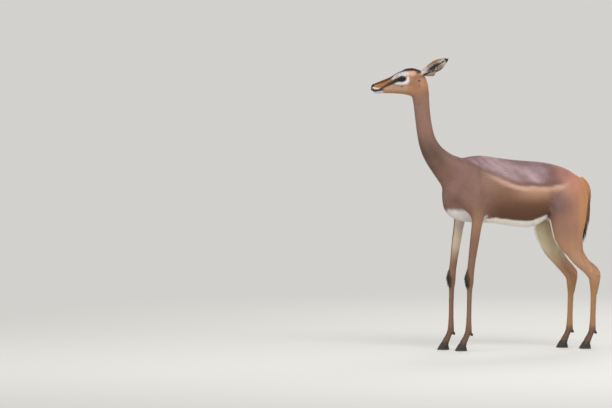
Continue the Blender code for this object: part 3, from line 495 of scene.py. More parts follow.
FOLDS = (
    # a line of place along the body, height and half width, its depth, and how far ahead it is on her right:
    # the flank, the thigh's front and back, behind the shoulder, behind the elbow, beside the throat
    (((0.292, 0.674, 0.008), (0.284, 0.646, 0.01), (0.276, 0.622, 0.008)), 0.0032, THIGH_AHEAD),
    (((0.302, 0.78, 0.012), (0.293, 0.74, 0.014), (0.289, 0.7, 0.012), (0.288, 0.668, 0.008)), 0.004, 0.012),
    (((0.402, 0.765, 0.011), (0.425, 0.7, 0.014), (0.428, 0.62, 0.013), (0.415, 0.54, 0.009)), 0.0026, 0.03),
    (((-0.052, 0.84, 0.012), (-0.042, 0.78, 0.016), (-0.038, 0.715, 0.013)), 0.0034, 0),
    (((-0.04, 0.652, 0.005), (-0.018, 0.65, 0.007), (0.006, 0.666, 0.005)), 0.002, 0),
    (((-0.336, 1.15, 0.007), (-0.33, 1.05, 0.009), (-0.305, 0.96, 0.012), (-0.245, 0.865, 0.015),
      (-0.205, 0.8, 0.013)), 0.0028, 0),
)
LIP_DEPTH, NOSTRIL_DEPTH = 0.0018, 0.0034
outward = normals_of(skin.data)
x, y, z = points.T
f, face_y, up = at_face = ((points - FACE) @ face_axes.T).T  # ahead of the eyes, to her left, up
beside = np.abs(face_y)
lip_line, nostril_line = (near_line(np.column_stack((f, beside, up)), line) for line in (MOUTH, NOSTRIL))
press = LIP_DEPTH * (1 - ramp(lip_line, 0.0004, 0.003))
press = press + NOSTRIL_DEPTH * (1 - ramp(nostril_line, 0.0006, 0.004))
at_eye = beside > EYE_SIDE
lid_edge, lid_rim = (at_eye * stripe(f, up, [(*place, half) for place in LIDS], 0.35)
                     for half in (0.0026, 0.0058))  # the lids' bare edge, and the black round them
for line, depth in CREASES:
    press += at_eye * depth * stripe(f, up, line, 0.7)
press *= kind == "head"
for leg, places, line, depth in LEG_HOLLOWS:
    for (along, _), which in zip(places, ("left", "right")):
        on_leg = np.char.startswith(owner, f"{leg}_{which}")
        press += depth * on_leg * ramp(np.abs(outward[:, 1]), 0.3, 0.8) * stripe(x - along, z, line, 0.8)
for line, depth, ahead in FOLDS:
    for turn, shift in ((-1, 0), (1, ahead)):
        looks_out = ramp(outward[:, 1] * turn, 0.25, 0.6) * (kind != "head")
        press += depth * looks_out * stripe(x + shift, z, line, 0.9)
press = relaxed(press[:, None], skin.data, evenly, 1)
moved(skin, points - outward * press)

# How deep the coat is over each piece, from the skin up to the CAD model's surface
COAT_DEPTH = {"torso": 0.002, "neck": 0.0017, "head": 0.0007, "ear": 0.0002, "tail": 0.001,
              "foreleg": 0.0011, "hindleg": 0.0013}
depth = sum(COAT_DEPTH[name] * part_of[name] for name in PARTS) + SWELL
moved(skin, points_of(skin.data) - normals_of(skin.data) * depth[:, None])


# Where the dewclaws stand, two behind each fetlock. The coat leaves them bare.
TOE_REACH = 0.033  # from the tip of a hoof back to its middle
FETLOCK_BEHIND, FETLOCK_HEIGHT = 0.03, 0.092
DEWCLAW_BEHIND, DEWCLAW_BELOW, DEWCLAW_APART = 0.0143, 0.015, 0.0088
CLAW_CLEAR, CLAW_SOFT = 0.006, 0.009  # no hair within the first, all of it beyond the second
FEET = {f"{pair}_{hand}": [f"hoof_{pair}_{hand}_{which}" for which in ("inner", "outer")]
        for pair in ("fore", "hind") for hand in ("left", "right")}
dewclaws = {}
bare_claw = np.zeros(len(points))
for foot, nodes_here in FEET.items():
    across = [sum(corner.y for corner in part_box(name)) / 2 for name in nodes_here]
    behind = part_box(nodes_here[1])[0].x + TOE_REACH + FETLOCK_BEHIND + DEWCLAW_BEHIND
    middle = Vector((behind, sum(across) / 2, FETLOCK_HEIGHT - DEWCLAW_BELOW))
    dewclaws[foot] = [middle + Vector((0, turn * DEWCLAW_APART, 0)) for turn in (-1, 1)]
    for dewclaw in dewclaws[foot]:
        from_claw = np.linalg.norm(points - dewclaw, axis=1)
        bare_claw = np.maximum(bare_claw, 1 - ramp(from_claw, CLAW_CLEAR, CLAW_SOFT))


# The markings, worked out for every point of the skin: she is dark over the back, tan on the flanks, white
# below and between the legs, with a striped face. Some painted shade and a painted sheen are laid in with
# them. Hide and tufts both take their colour from here.
points = points_of(skin.data)
outward = normals_of(skin.data)
x, y, z = points.T
side = np.abs(y - MIDLINE)
inward = -outward[:, 1] * np.sign(y - MIDLINE)  # how far a face looks towards the other legs
is_face, at_ear = kind == "head", kind == "ear"
tint = np.zeros((len(points), 3))


def rough(size, seed=0.0, at=points):
    """Waves of about this size over the body, from -1 to 1, that make a drawn edge uneven."""
    a, b, c = (at / size * 6.3).T
    return (
        np.sin(a * 0.71 + b * 0.93 + seed) * np.sin(c * 0.83 - b * 0.41 + 2 * seed)
        + 0.6 * np.sin(a * 1.9 - c * 1.3 + seed * 3) * np.sin(b * 2.1 + c * 0.9 - seed)
    ) / 1.6


def lay(code, mask):
    """Lays a colour over those before it, as far as the mask says."""
    tint[:] += (np.array(linear(code)) - tint) * np.clip(mask, 0, 1)[:, None]


def level(rows):
    """The height of a drawn line at each point's place along the body."""
    along, height = zip(*rows)
    return np.interp(x, along, height)


SADDLE = (
    # place along the body and height of the dark saddle's lower edge
    (-0.2, 0.885), (-0.115, 0.868), (-0.05, 0.843), (0.065, 0.791), (0.141, 0.768), (0.288, 0.766),
    (0.345, 0.776), (0.372, 0.79), (0.4, 0.82),
)
BELLY = (
    # and of the white belly's upper edge
    (-0.14, 0.6), (0.02, 0.6205), (0.125, 0.6065), (0.19, 0.604), (0.258, 0.627), (0.278, 0.632),
    (0.3, 0.62), (0.33, 0.59),
)
trunk, throat, fore, hind, tail = (part_of[name] for name in ("torso", "neck", "foreleg", "hindleg", "tail"))
on_torso = kind == "torso"
# The trunk: mauve brown at the shoulder, tan on the flank and darker brown low down as painted shade
lay("#7d553c", np.ones(len(points)))
lay("#846054", trunk * ramp(x, 0.06, -0.08))
lay("#96705e", trunk * patch(x, z, (-0.02, 0.8), (0.09, 0.045), 0.9) * 0.6)
lay("#b88a6d", trunk * patch(x, z, (0.23, 0.735), (0.1, 0.034), 0.9) * 0.9)
# Painted shade: darker brown low on the trunk, where it curves under towards the belly
lay("#60391f", trunk * ramp(z, 0.75, 0.64) * ramp(x, -0.06, 0.06))
# Rump and thighs: a dusky front, a rosy top and an orange back edge with finely combed streaks
rear = ramp(x, 0.25, 0.36) * (z < 0.95)
lay("#ae7e66", rear * ramp(z, 0.42, 0.6))
lay("#76544f", ramp(x, 0.262, 0.296) * patch(x, z, (0.318, 0.676), (0.062, 0.066), 0.9) * 0.9)
lay("#be806d", rear * ramp(x, 0.31, 0.42) * ramp(z, 0.69, 0.8))
lay("#8f6a59", rear * patch(x, z, (0.35, 0.56), (0.05, 0.05), 0.9) * 0.8)
lay("#c98f58", rear * ramp(x, 0.4, 0.47) * ramp(z, 0.46, 0.56) * 0.85)
combed = np.column_stack((x, y, 0.16 * z))
lay("#b97c4c", rear * ramp(x, 0.34, 0.42) * ramp(rough(0.028, 9, combed), 0.0, 0.9) * 0.4)
# The saddle, with its pale lower edge and a painted sheen on its side, a silver highlight of the glossy coat
edge = z - level(SADDLE) - 0.0035 * rough(0.11) - 0.0015 * rough(0.014, 1)
on_trunk = on_torso | np.char.endswith(owner, "upper")
pale = stripe(edge, 0 * z, ((-0.011, -1, 0.012), (-0.011, 1, 0.012)), 0.9)
lay("#cca28d", 0.95 * on_trunk * pale * ramp(x, -0.06, 0.06) * ramp(x, 0.4, 0.33))
lay("#775552", on_trunk * ramp(edge, -0.008, 0.01) * (1 - ramp(x + 0.7 * (z - 0.8), 0.3, 0.37)))
lay("#a06a60", 0.8 * on_trunk * ramp(edge, 0.0, 0.04) * ramp(x, 0.27, 0.36) * ramp(x, 0.48, 0.39))
lay("#67484a", on_trunk * ramp(edge, 0.04, 0.13) * 0.6 * ramp(x, 0.4, 0.3))
# Painted sheen: a lilac highlight over the middle of the saddle's side, broken into soft streaks
sheared = np.column_stack((x + 0.95 * z, 0.3 * y, 0.25 * z))
painted_sheen_streaks = 0.8 * rough(0.075, 3, sheared) + 0.5 * rough(0.15, 5) + 0.35 * rough(0.03, 8, sheared)
painted_sheen_area = ramp(edge, 0.006, 0.03) * ramp(edge, 0.12, 0.07) * ramp(x, -0.15, -0.04) * ramp(x, 0.3, 0.2)
lay("#987b7f", 0.6 * on_trunk * painted_sheen_area)
lay("#c9b0b3", 0.72 * on_trunk * painted_sheen_area * ramp(painted_sheen_streaks, -0.8, 1.1))
# The neck, with painted shade low on its front, and the white belly that ends in painted shadow in the
# fold of the flank
lay("#8c6a5a", throat)
lay("#976d5c", throat * ramp(x, -0.3, -0.24) * 0.8)
# Painted shade over the lower front of the neck
lay("#4f3628", throat * ramp(z, 1.06, 0.92) * (1 - ramp(x + 0.6 * (z - 0.95), -0.27, -0.16)) * 0.75)
lay("#7f5f55", throat * ramp(rough(0.1, 7), 0.1, 0.9) * 0.35)
under = level(BELLY) - z + 0.003 * rough(0.03, 2)
flank_end = ramp(x, 0.268, 0.28) * ramp(-inward, 0.0, 0.3)
lay("#f8f2ea", on_torso * ramp(under, -0.004, 0.004) * (x > -0.15) * (1 - flank_end))
# The legs: brown outside, white inside, with a white rim down the front of each thigh
lay("#85604b", fore)
lay("#9a745b", fore * ramp(z, 0.5, 0.6))
lay("#bb8d6d", hind * ramp(z, 0.6, 0.42))
lay("#a67b52", hind * ramp(z, 0.4, 0.28))
front_edge = 0.5 * np.clip(-outward[:, 0], 0, 1) * ramp(z, 0.44, 0.5)
# Cream inside the hind legs: their own pale hair, darkened a little as painted shade between the legs
lay("#d0c1a2", hind * ramp(inward + front_edge, 0.05, 0.4) * ramp(z, 0.37, 0.47) * (z < 0.7))
thigh_rim = ramp(inward + front_edge, 0.02, 0.22) * ramp(inward, 0.65, 0.35) * ramp(-outward[:, 0], 0.1, 0.5)
thigh_rim = thigh_rim * ((kind == "hindleg") | (x > 0.262))
lay("#f3f0ec", thigh_rim * ramp(z, 0.45, 0.5) * ramp(z, 0.655, 0.64))
lay("#cdbba2", fore * ramp(inward, 0.15, 0.6) * ramp(z, 0.4, 0.52))
between_thighs = ramp(side, 0.055, 0.035) * ramp(z, 0.74, 0.66)
lay("#e0d6c6", on_torso * ramp(x, 0.24, 0.3) * between_thighs)
# Painted shadow in the fold between the belly and each thigh
for turn, shift in ((-1, 0), (1, THIGH_AHEAD)):
    fold_shadow = patch(x + shift, z, (0.279, 0.637), (0.0075, 0.014), 0.8) * (kind != "head")
    lay("#2a1e18", 0.85 * fold_shadow * ramp(outward[:, 1] * turn, 0.0, 0.3))
# The white edges under the tail, the white of the chest, the dark knees and feet, and the tail
SCUT = ((0.018, 0.75, 0.006), (0.026, 0.7, 0.013), (0.03, 0.62, 0.012))
lay("#ded2c0", ramp(x, 0.435, 0.455) * stripe(side, z, SCUT, 0.5))
bib = 0.65 + 0.4 * side - 0.25 * (x + 0.18) + 0.003 * rough(0.035, 5)  # the height of its edge on the chest
lay("#e4dedb", trunk * ramp(z - bib, 0.007, -0.007) * ramp(side, 0.066, 0.054) * (x < -0.02))
knee_line = x - np.where(y < MIDLINE, *(along for along, _ in KNEES))
KNEE_PATCH = ((-0.019, 0.385, 0.007), (-0.022, 0.34, 0.014), (-0.016, 0.3, 0.008))
lay("#2f211b", fore * stripe(knee_line, z, KNEE_PATCH, 0.7))
lay("#6a4a37", (fore + hind) * ramp(z, 0.125, 0.085))
lay("#33261f", (fore + hind) * ramp(z, 0.045, 0.028))
lay("#9c6a44", tail)
lay("#6b4530", tail * ramp(z, 0.74, 0.66))
lay("#171312", tail * ramp(z, 0.655, 0.595))

# The ears in their own frame: how far out along the ear a point is, how far across it, and if it is inside
EARS = (
    # side, the root of the ear, the way it points and the way its cup opens, in the face's frame
    (1, (-0.088, 0.033, 0.0215), (-0.85, 0.2, 0.455), (0.38, 0.86, -0.1)),
    (-1, (-0.088, -0.033, 0.0215), (-0.383, -0.89, 0.14), (0.85, -0.35, -0.35)),
)
ear_share, ear_cross, ear_inside = (np.zeros(len(points)) for _ in range(3))
ear_way, ear_over = (np.zeros((len(points), 3)) for _ in range(2))
EAR_REACH = 0.151
for turn, root, along, opens in EARS:
    mine = (kind == "ear") & (owner == ("ear_left" if turn > 0 else "ear_right"))
    along, opens = (Vector(way).normalized() for way in (along, opens))
    opens = (opens - along * along.dot(opens)).normalized()
    across = along.cross(opens) * turn
    from_root = at_face.T - root
    ear_share[mine] = (from_root @ along)[mine] / EAR_REACH
    ear_cross[mine] = (from_root @ across)[mine]
    ear_way[mine] = np.array(along) @ face_axes
    ear_over[mine] = np.array(across) @ face_axes
    facing = outward @ (face_axes.T @ np.array(opens))
    ear_inside[mine] = facing[mine]
inner_ear = (kind == "ear") * ramp(ear_inside, -0.05, 0.25)

# The face, in its own frame: ahead and up in metres, and how far below the line of forehead and nose
face = part_of["head"]
middle_top = is_face & (beside < 0.006)
profile = np.arange(-0.11, 0.15, 0.004)
crown = [up[middle_top & (np.abs(f - at) < 0.004)].max(initial=-0.1) for at in profile]
drop = np.interp(f, profile, crown) - up


def streak(code, line, soft, height=up):
    """A stripe of the face along places ahead of the eyes, heights and half widths."""
    lay(code, face * stripe(f, height, line, soft))


def spot(code, middle, radii, soft, strength=1):
    lay(code, face * patch(f, up, middle, radii, soft) * strength)


lay("#b6835c", face)
spot("#9f7355", (-0.06, -0.012), (0.03, 0.05), 0.6)
neck_side = ramp(up, -0.05, -0.105) * ramp(f, -0.03, -0.05)
lay("#8f6d61", np.where(is_face, neck_side, 0))
# Cheek, jaw and the side of the nose, and the pale spot behind the brow
streak("#bb9880", ((0.098, -0.048, 0.006), (0.05, -0.04, 0.013), (-0.01, -0.045, 0.014)), 0.6)
streak("#b5804c", ((0.088, -0.0655, 0.0065), (0.03, -0.069, 0.0065), (-0.035, -0.075, 0.008)), 0.5)
streak("#a46b36", (
    (0.121, -0.037, 0.006), (0.1, -0.03, 0.01), (0.075, -0.018, 0.01), (0.055, -0.006, 0.006),
), 0.5)
spot("#d6a582", (-0.047, 0.026), (0.016, 0.013), 0.5)
# The bridge of the nose
streak("#4f2c18", (
    (0.125, 0.004, 0.006), (0.09, 0.005, 0.0095), (0.055, 0.004, 0.0085), (0.04, 0.004, 0.005),
), 0.4, drop)
# The white over the eye, the dark brow and crown, and the white behind and under the eye
streak("#c9c7d0", (
    (0.045, -0.001, 0.0045), (0.03, 0.012, 0.008), (0.01, 0.021, 0.01), (-0.01, 0.0235, 0.01),
    (-0.025, 0.0235, 0.0085),
), 0.5)
streak("#3a2124", ((0.05, 0.0, 0.0045), (0.022, 0.0, 0.0055), (-0.01, 0.0, 0.007)), 0.4, drop)
streak("#12141c", (
    (0.0, 0.0, 0.005), (-0.025, 0.0, 0.0085), (-0.05, 0.0, 0.009), (-0.068, 0.0, 0.007),
), 0.35, drop)
streak("#dbd9dd", (
    (-0.0265, 0.006, 0.005), (-0.0265, -0.008, 0.007), (-0.018, -0.02, 0.008),
    (0.004, -0.0225, 0.0075), (0.03, -0.0215, 0.0045),
), 0.5)
# The dark stripe from the eye to the corner of the mouth
streak("#4a301f", (
    (0.026, -0.0085, 0.008), (0.0625, -0.0255, 0.0078), (0.085, -0.038, 0.0055), (0.103, -0.0483, 0.003),
), 0.5)
streak("#150f0d", (
    (0.016, -0.0045, 0.008), (0.032, -0.0105, 0.0085), (0.05, -0.019, 0.007), (0.066, -0.027, 0.0035),
), 0.6)
# The muzzle: pale lip, black nose, dark lips and white chin
streak("#e0d2c2", ((0.137, -0.039, 0.0035), (0.128, -0.045, 0.0045), (0.112, -0.0465, 0.003)), 0.5)
streak("#101013", ((0.15, 0.004, 0.01), (0.134, 0.002, 0.0085), (0.122, 0.0, 0.005)), 0.4, drop)
lay("#24272e", face * ramp(f, 0.1375, 0.1415) * ramp(up, -0.038, -0.044))
streak("#2b3039", (
    (0.146, -0.052, 0.006), (0.128, -0.0565, 0.0055), (0.11, -0.0545, 0.0048), (0.09, -0.0495, 0.003),
), 0.35)
streak("#cfd1d8", ((0.136, -0.068, 0.0062), (0.119, -0.0675, 0.0066), (0.096, -0.067, 0.0075)), 0.4)
# Small spots on the cheek, and round the root of the ear
spot("#181316", (0.0018, -0.0365), (0.0028, 0.0028), 0.3)
lay("#d6d3d6", is_face * patch(f, up, (-0.094, 0.024), (0.01, 0.0075), 0.7) * (beside > 0.02))
spot("#1b1e29", (-0.08, 0.0335), (0.016, 0.0095), 0.4)
spot("#2a211f", (-0.08, -0.009), (0.005, 0.0055), 0.4)
spot("#3b2a22", (-0.078, -0.031), (0.0025, 0.007), 0.5, 0.5)
# Painted shade in the slit of the mouth and inside the nostrils, and the black rim round the lids
lay("#0c0a0a", face * ramp(lip_line, 0.0026, 0.001))
lay("#08080a", face * ramp(nostril_line, 0.0042, 0.002))
lay("#0b0a0b", face * lid_rim)

# The ears: tan backs with black tips and edges, white hair inside with black lines that part like fingers
lay("#a88150", part_of["ear"])
lay("#2a201b", at_ear * ramp(ear_share, 0.84, 0.92))
lay("#cfc3b6", inner_ear)
lay("#b48a63", inner_ear * ramp(np.abs(ear_cross), 0.0165, 0.0215) * ramp(ear_share, 0.84, 0.74))
down, over = ear_share * EAR_REACH, ear_cross
FINGERS = (
    ((0.026, -0.001, 0.005), (0.056, 0.0, 0.01), (0.085, -0.002, 0.0055), (0.122, -0.001, 0.003)),
    ((0.054, 0.002, 0.0055), (0.078, 0.009, 0.0042), (0.098, 0.0165, 0.0028)),
    ((0.005, 0.012, 0.0046), (0.036, 0.0115, 0.0044), (0.059, 0.015, 0.0042), (0.072, 0.0235, 0.004)),
    ((0.04, -0.0095, 0.0018), (0.068, -0.012, 0.0028), (0.096, -0.011, 0.0018)),
)
for finger in FINGERS:
    lay("#15110f", inner_ear * stripe(down, over, finger, 0.35))
lay("#15110f", inner_ear * ramp(ear_share, 0.84, 0.9))
lay("#15110f", at_ear * ramp(ear_cross, 0.0225, 0.0255) * ramp(ear_share, 0.42, 0.52))
lay("#d6d3d6", inner_ear * ramp(ear_share, 0.28, 0.1) * (1 - ramp(np.abs(ear_cross), 0.005, 0.011)))


# The lie of the coat. Hair runs back along the trunk, down the neck and legs, and back over the face from
# the nose. Each point of the skin keeps its direction, its hairs' size and a place on the unwrapped hide.
lie = np.zeros((len(points), 3))


def lean(way, mask):
    """Turns the coat towards a direction where the mask says."""
    lie[:] += (np.array(way) - lie) * np.clip(mask, 0, 1)[:, None]


lean((1, 0, -0.3), np.ones(len(points)))
lean((0.35, 0, -1), is_part("torso") * (1 - ramp(x, -0.2, -0.1)))
lean((0.75, 0, -0.7), is_part("torso") * ramp(x, 0.36, 0.44))
lean((0.25, 0, -1), is_part("neck"))
lean(-AHEAD, is_part("head"))
behind_cheek = (1 - ramp(f, -0.06, -0.02)) * (1 - ramp(up, -0.01, 0.02))
lean(-AHEAD - Vector((0, 0, 0.9)), is_part("head") * behind_cheek)
lean((-0.15, 0, -1), is_part("tail"))
lean((0.1, 0, -1), is_part("foreleg"))
lean((0.45, 0, -1), is_part("hindleg"))
lean((0.05, 0, -1), is_part("hindleg") * (1 - ramp(z, 0.36, 0.46)))
lie[at_ear] = ear_way[at_ear]
lie = relaxed(lie, skin.data, np.where(at_ear, 0, 0.5), 24)
inward_hair = inner_ear * -np.sign(ear_cross) * 0.8 * ramp(np.abs(ear_cross), 0.003, 0.01)
lie += ear_over * inward_hair[:, None]
lie -= outward * np.sum(lie * outward, axis=1)[:, None]
lie /= np.maximum(np.linalg.norm(lie, axis=1), 0.05)[:, None]
steep = np.degrees(np.arctan2(np.abs(lie[:, 2]), np.hypot(lie[:, 0], lie[:, 1]))) / 45

# Length and width of the coat's tufts in metres, and how thick each is
HAIR = {
    "torso": (0.014, 0.0019),
    "neck": (0.011, 0.0017),
    "head": (0.0062, 0.0012),
    "ear": (0.006, 0.0012),
    "tail": (0.013, 0.0018),
    "foreleg": (0.01, 0.0016),
    "hindleg": (0.012, 0.0018),
}
MOST_RAISED = 0.35  # of its length, where a tuft grows in a hollow
hair = np.array([HAIR[name] for name in kind])
hair *= 1 - 0.35 * (is_part("foreleg", "hindleg") * (1 - ramp(z, 0.12, 0.45)))[:, None]
hair *= 1 - 0.4 * (is_part("head") * ramp(f, 0.03, 0.12))[:, None]
hair = relaxed(hair, skin.data, evenly, 12)
hair = np.column_stack((hair, 0.1 * hair[:, 1] + 0.00009))

# In a hollow of the skin each tuft is raised, so that its tip doesn't sink into the far side of the hollow
surface = BVHTree.FromObject(skin, bpy.context.evaluated_depsgraph_get())
tips = points + lie * hair[:, :1]
under_skin = []
for tip in tips:
    nearest, normal, _, _ = surface.find_nearest(tip)
    under_skin.append((nearest - Vector(tip)).dot(normal))
lie += outward * np.clip(under_skin / hair[:, 0], 0, MOST_RAISED)[:, None]

bpy.context.view_layer.objects.active = skin
skin.select_set(True)
bpy.ops.object.mode_set(mode="EDIT")
bpy.ops.mesh.select_all(action="SELECT")
bpy.ops.uv.smart_project(angle_limit=math.radians(60), island_margin=0.002)
bpy.ops.object.mode_set(mode="OBJECT")
skin.data.uv_layers.active.name = "OFBake"


def keep(mesh, name, sort, field, values):
    """Stores a value for each point of the mesh."""
    made = mesh.attributes.get(name) or mesh.attributes.new(name, sort, "POINT")
    made.data.foreach_set(field, np.ascontiguousarray(values, np.float32).ravel())


keep(skin.data, "coat", "FLOAT_COLOR", "color", np.column_stack([tint, np.ones(len(tint))]))
keep(skin.data, "steep", "FLOAT", "value", steep)
keep(skin.data, "lie", "FLOAT_VECTOR", "vector", lie)
keep(skin.data, "hair", "FLOAT_VECTOR", "vector", hair)

# Short coat hair: flat, sleek and fairly glossy. On the hide itself its strands are bump and fine streaks,
# drawn about three times as coarse as single hairs, along the lie: three patterns are blended by how
# steeply it falls.
STRAND_LENGTH, STRAND_WIDTH = 0.011, 0.0011
MOTTLE = 0.035  # size of the faint cloudy patches
SHEEN_SPREAD = 0.45
hide, tree, shader = finish("short_coat", {"Roughness": 0.5, "Sheen Weight": 0.1,
                                           "Sheen Roughness": SHEEN_SPREAD})
place = node(tree, "ShaderNodeTexCoord")
strands = []
for fall in (0, 45, 90):
    turned = node(
        tree,
        "ShaderNodeMapping",
        {
            "Vector": place.outputs["Object"],
            "Rotation": (0, math.radians(fall), 0),
            "Scale": (STRAND_LENGTH, STRAND_WIDTH, STRAND_WIDTH),
        },
        vector_type="TEXTURE",
    )
    strands.append(node(tree, "ShaderNodeTexNoise", {"Vector": turned, "Scale": 1.0, "Detail": 2.0}))
fall = node(tree, "ShaderNodeAttribute", attribute_name="steep")
to_upright = node(tree, "ShaderNodeMath", {0: fall.outputs["Fac"], 1: 1.0}, operation="SUBTRACT",
                  use_clamp=True)
early = node(tree, "ShaderNodeMix", {0: fall.outputs["Fac"], 2: strands[0].outputs["Fac"],
                                     3: strands[1].outputs["Fac"]}, data_type="FLOAT")
strand = node(tree, "ShaderNodeMix", {0: to_upright, 2: early,
                                      3: strands[2].outputs["Fac"]}, data_type="FLOAT")
cloud = node(tree, "ShaderNodeTexNoise",
             {"Vector": place.outputs["Object"], "Scale": 1 / MOTTLE, "Detail": 3.0})
both = node(tree, "ShaderNodeMath", {0: strand, 1: cloud.outputs["Fac"]}, operation="ADD")
value = node(tree, "ShaderNodeMapRange", {"Value": both, "From Min": 0.6, "From Max": 1.4,
                                          "To Min": 0.86, "To Max": 1.1})
colour = node(tree, "ShaderNodeAttribute", attribute_name="coat")
shade = node(tree, "ShaderNodeHueSaturation", {"Color": colour.outputs["Color"], "Value": value})
relief = node(tree, "ShaderNodeBump", {"Height": strand, "Distance": 0.0006, "Strength": 0.5})
tree.links.new(shade.outputs[0], shader.inputs["Base Color"])
tree.links.new(relief.outputs[0], shader.inputs["Normal"])
skin.data.materials.clear()
skin.data.materials.append(hide)
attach(skin, "root")
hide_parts(*HIDE)


# The tufts of the short coat. Each is a flat pointed lock of hairs with its root sunk in the skin. They lie
# along the body, overlap like the real coat, break the outline, and take their colour from the point they
# grow at.
FLAT_SIDE = math.radians(75)
ROOT_DEPTH = 0.6  # of a tuft's thickness


def tuft_shape(name, stations):
    """A lock of unit size along X: a sunk root, three-sided rings at the stations, and a point."""
    made = bmesh.new()
    share = made.verts.layers.float.new("share")
    patch_at = made.verts.layers.float_vector.new("patch")
    root = made.verts.new((0, 0, -ROOT_DEPTH))
    rings = []
    for at, half, low, high in stations:
        rings.append([made.verts.new(place) for place in ((at, half, low), (at, 0, high), (at, -half, low))])
    tip = made.verts.new((1, 0, stations[-1][2]))
    for k in range(3):
        made.faces.new((root, rings[0][k], rings[0][k - 1]))
        made.faces.new((tip, rings[-1][k - 1], rings[-1][k]))
        for one, two in zip(rings, rings[1:]):
            made.faces.new((one[k - 1], one[k], two[k], two[k - 1]))
    for vert in made.verts:
        vert[share] = max(vert.co.x, 0)
        vert[patch_at] = (vert.co.x, vert.co.y + 0.5, 0)
    bmesh.ops.triangulate(made, faces=made.faces)
    bmesh.ops.recalc_face_normals(made, faces=made.faces)
    mesh = as_mesh(name, made)
    mesh.shade_smooth()
    mesh.set_sharp_from_angle(angle=FLAT_SIDE)  # the under side doesn't darken the upper one
    return placed(name, mesh)


short_tuft = tuft_shape("short_tuft", ((0.38, 0.5, 0.0, 1.0),))
long_tuft = tuft_shape("long_tuft", ((0.15, 0.4, 0.0, 1.2), (0.45, 0.5, 1.0, 2.4), (0.78, 0.32, 0.8, 1.8)))

PATCH = 0.003  # width of a tuft's own place on the unwrapped hide
tufting = bpy.data.node_groups.new("tufting", "GeometryNodeTree")
tufting.interface.new_socket("Geometry", in_out="INPUT", socket_type="NodeSocketGeometry")
tufting.interface.new_socket("Geometry", in_out="OUTPUT", socket_type="NodeSocketGeometry")
TUFTING_INPUTS = {
    name: tufting.interface.new_socket(name, in_out="INPUT", socket_type="NodeSocket" + sort).identifier
    for name, sort in (("Tuft", "Object"), ("Hair", "Material"), ("Seed", "Int"), ("Tilt", "Vector"),
                       ("Spread", "Vector"), ("Shortest", "Float"), ("Longest", "Float"))
}
given = node(tufting, "NodeGroupInput").outputs
thick, lying, sized, unwrapped, local = (
    node(tufting, "GeometryNodeInputNamedAttribute", {"Name": name}, data_type=sort).outputs[0]
    for name, sort in (("grow", "FLOAT"), ("lie", "FLOAT_VECTOR"), ("hair", "FLOAT_VECTOR"),
                       ("OFBake", "FLOAT_VECTOR"), ("patch", "FLOAT_VECTOR"))
)
scatter = node(tufting, "GeometryNodeDistributePointsOnFaces",
               {"Mesh": given["Geometry"], "Density": thick, "Seed": given["Seed"]})
tone = node(tufting, "FunctionNodeRandomValue", {2: -1.0, 3: 1.0, "Seed": 1}, data_type="FLOAT")
toned = node(tufting, "GeometryNodeStoreNamedAttribute",
             {"Geometry": scatter.outputs["Points"], "Name": "tone", "Value": tone.outputs[1]},
             data_type="FLOAT")
rooted = node(tufting, "GeometryNodeStoreNamedAttribute",
              {"Geometry": toned, "Name": "root", "Value": unwrapped}, data_type="FLOAT_VECTOR")
stands = node(tufting, "FunctionNodeAxesToRotation",
              {"Primary Axis": lying, "Secondary Axis": scatter.outputs["Normal"]},
              primary_axis="X", secondary_axis="Z")
shake = node(tufting, "FunctionNodeRandomValue", {0: (-1, -1, -1), 1: (1, 1, 1), "Seed": 2},
             data_type="FLOAT_VECTOR")
swing = node(tufting, "ShaderNodeVectorMath", {0: shake, 1: given["Spread"], 2: given["Tilt"]},
             operation="MULTIPLY_ADD")
swing = node(tufting, "FunctionNodeEulerToRotation", {"Euler": swing})
swung = node(tufting, "FunctionNodeRotateRotation", {"Rotation": stands, "Rotate By": swing},
             rotation_space="LOCAL")
length = node(tufting, "FunctionNodeRandomValue", {2: given["Shortest"], 3: given["Longest"], "Seed": 3},
              data_type="FLOAT")
scaled = node(tufting, "ShaderNodeVectorMath", {0: sized, "Scale": length.outputs[1]}, operation="SCALE")
lock = node(tufting, "GeometryNodeObjectInfo", {"Object": given["Tuft"]})
planted = node(tufting, "GeometryNodeInstanceOnPoints",
               {"Points": rooted, "Instance": lock.outputs["Geometry"],
                "Rotation": swung, "Scale": scaled})
real = node(tufting, "GeometryNodeRealizeInstances", {"Geometry": planted})
root_at = node(tufting, "GeometryNodeInputNamedAttribute", {"Name": "root"}, data_type="FLOAT_VECTOR")
own_place = node(tufting, "ShaderNodeVectorMath", {0: local, 1: (PATCH, PATCH, 0), 2: root_at},
                 operation="MULTIPLY_ADD")
mapped = node(tufting, "GeometryNodeStoreNamedAttribute",
              {"Geometry": real, "Name": "OFBake", "Value": own_place},
              data_type="FLOAT2", domain="CORNER")
finished = node(tufting, "GeometryNodeSetMaterial", {"Geometry": mapped, "Material": given["Hair"]})
node(tufting, "NodeGroupOutput", {"Geometry": finished})

# Hair: glossier along each lock than the hide under it, darker at its root and paler at its tip
lock_hair, tree, shader = finish("coat_hair", {"Roughness": 0.46, "Sheen Weight": 0.08,
                                               "Sheen Roughness": SHEEN_SPREAD})
colour = node(tree, "ShaderNodeAttribute", attribute_name="coat")
tone = node(tree, "ShaderNodeAttribute", attribute_name="tone")
share = node(tree, "ShaderNodeAttribute", attribute_name="share")
along = node(tree, "ShaderNodeMapRange", {"Value": share.outputs["Fac"], "To Min": 0.93, "To Max": 1.06})
value = node(tree, "ShaderNodeMath", {0: tone.outputs["Fac"], 1: 0.07, 2: along}, operation="MULTIPLY_ADD")
shade = node(tree, "ShaderNodeHueSaturation", {"Color": colour.outputs["Color"], "Value": value})
tree.links.new(shade.outputs[0], shader.inputs["Base Color"])

TILT, SPREAD = 3.4, (12.0, 1.6, 8.0)  # degrees: how far a tuft stands up, and it rolls, tilts and turns


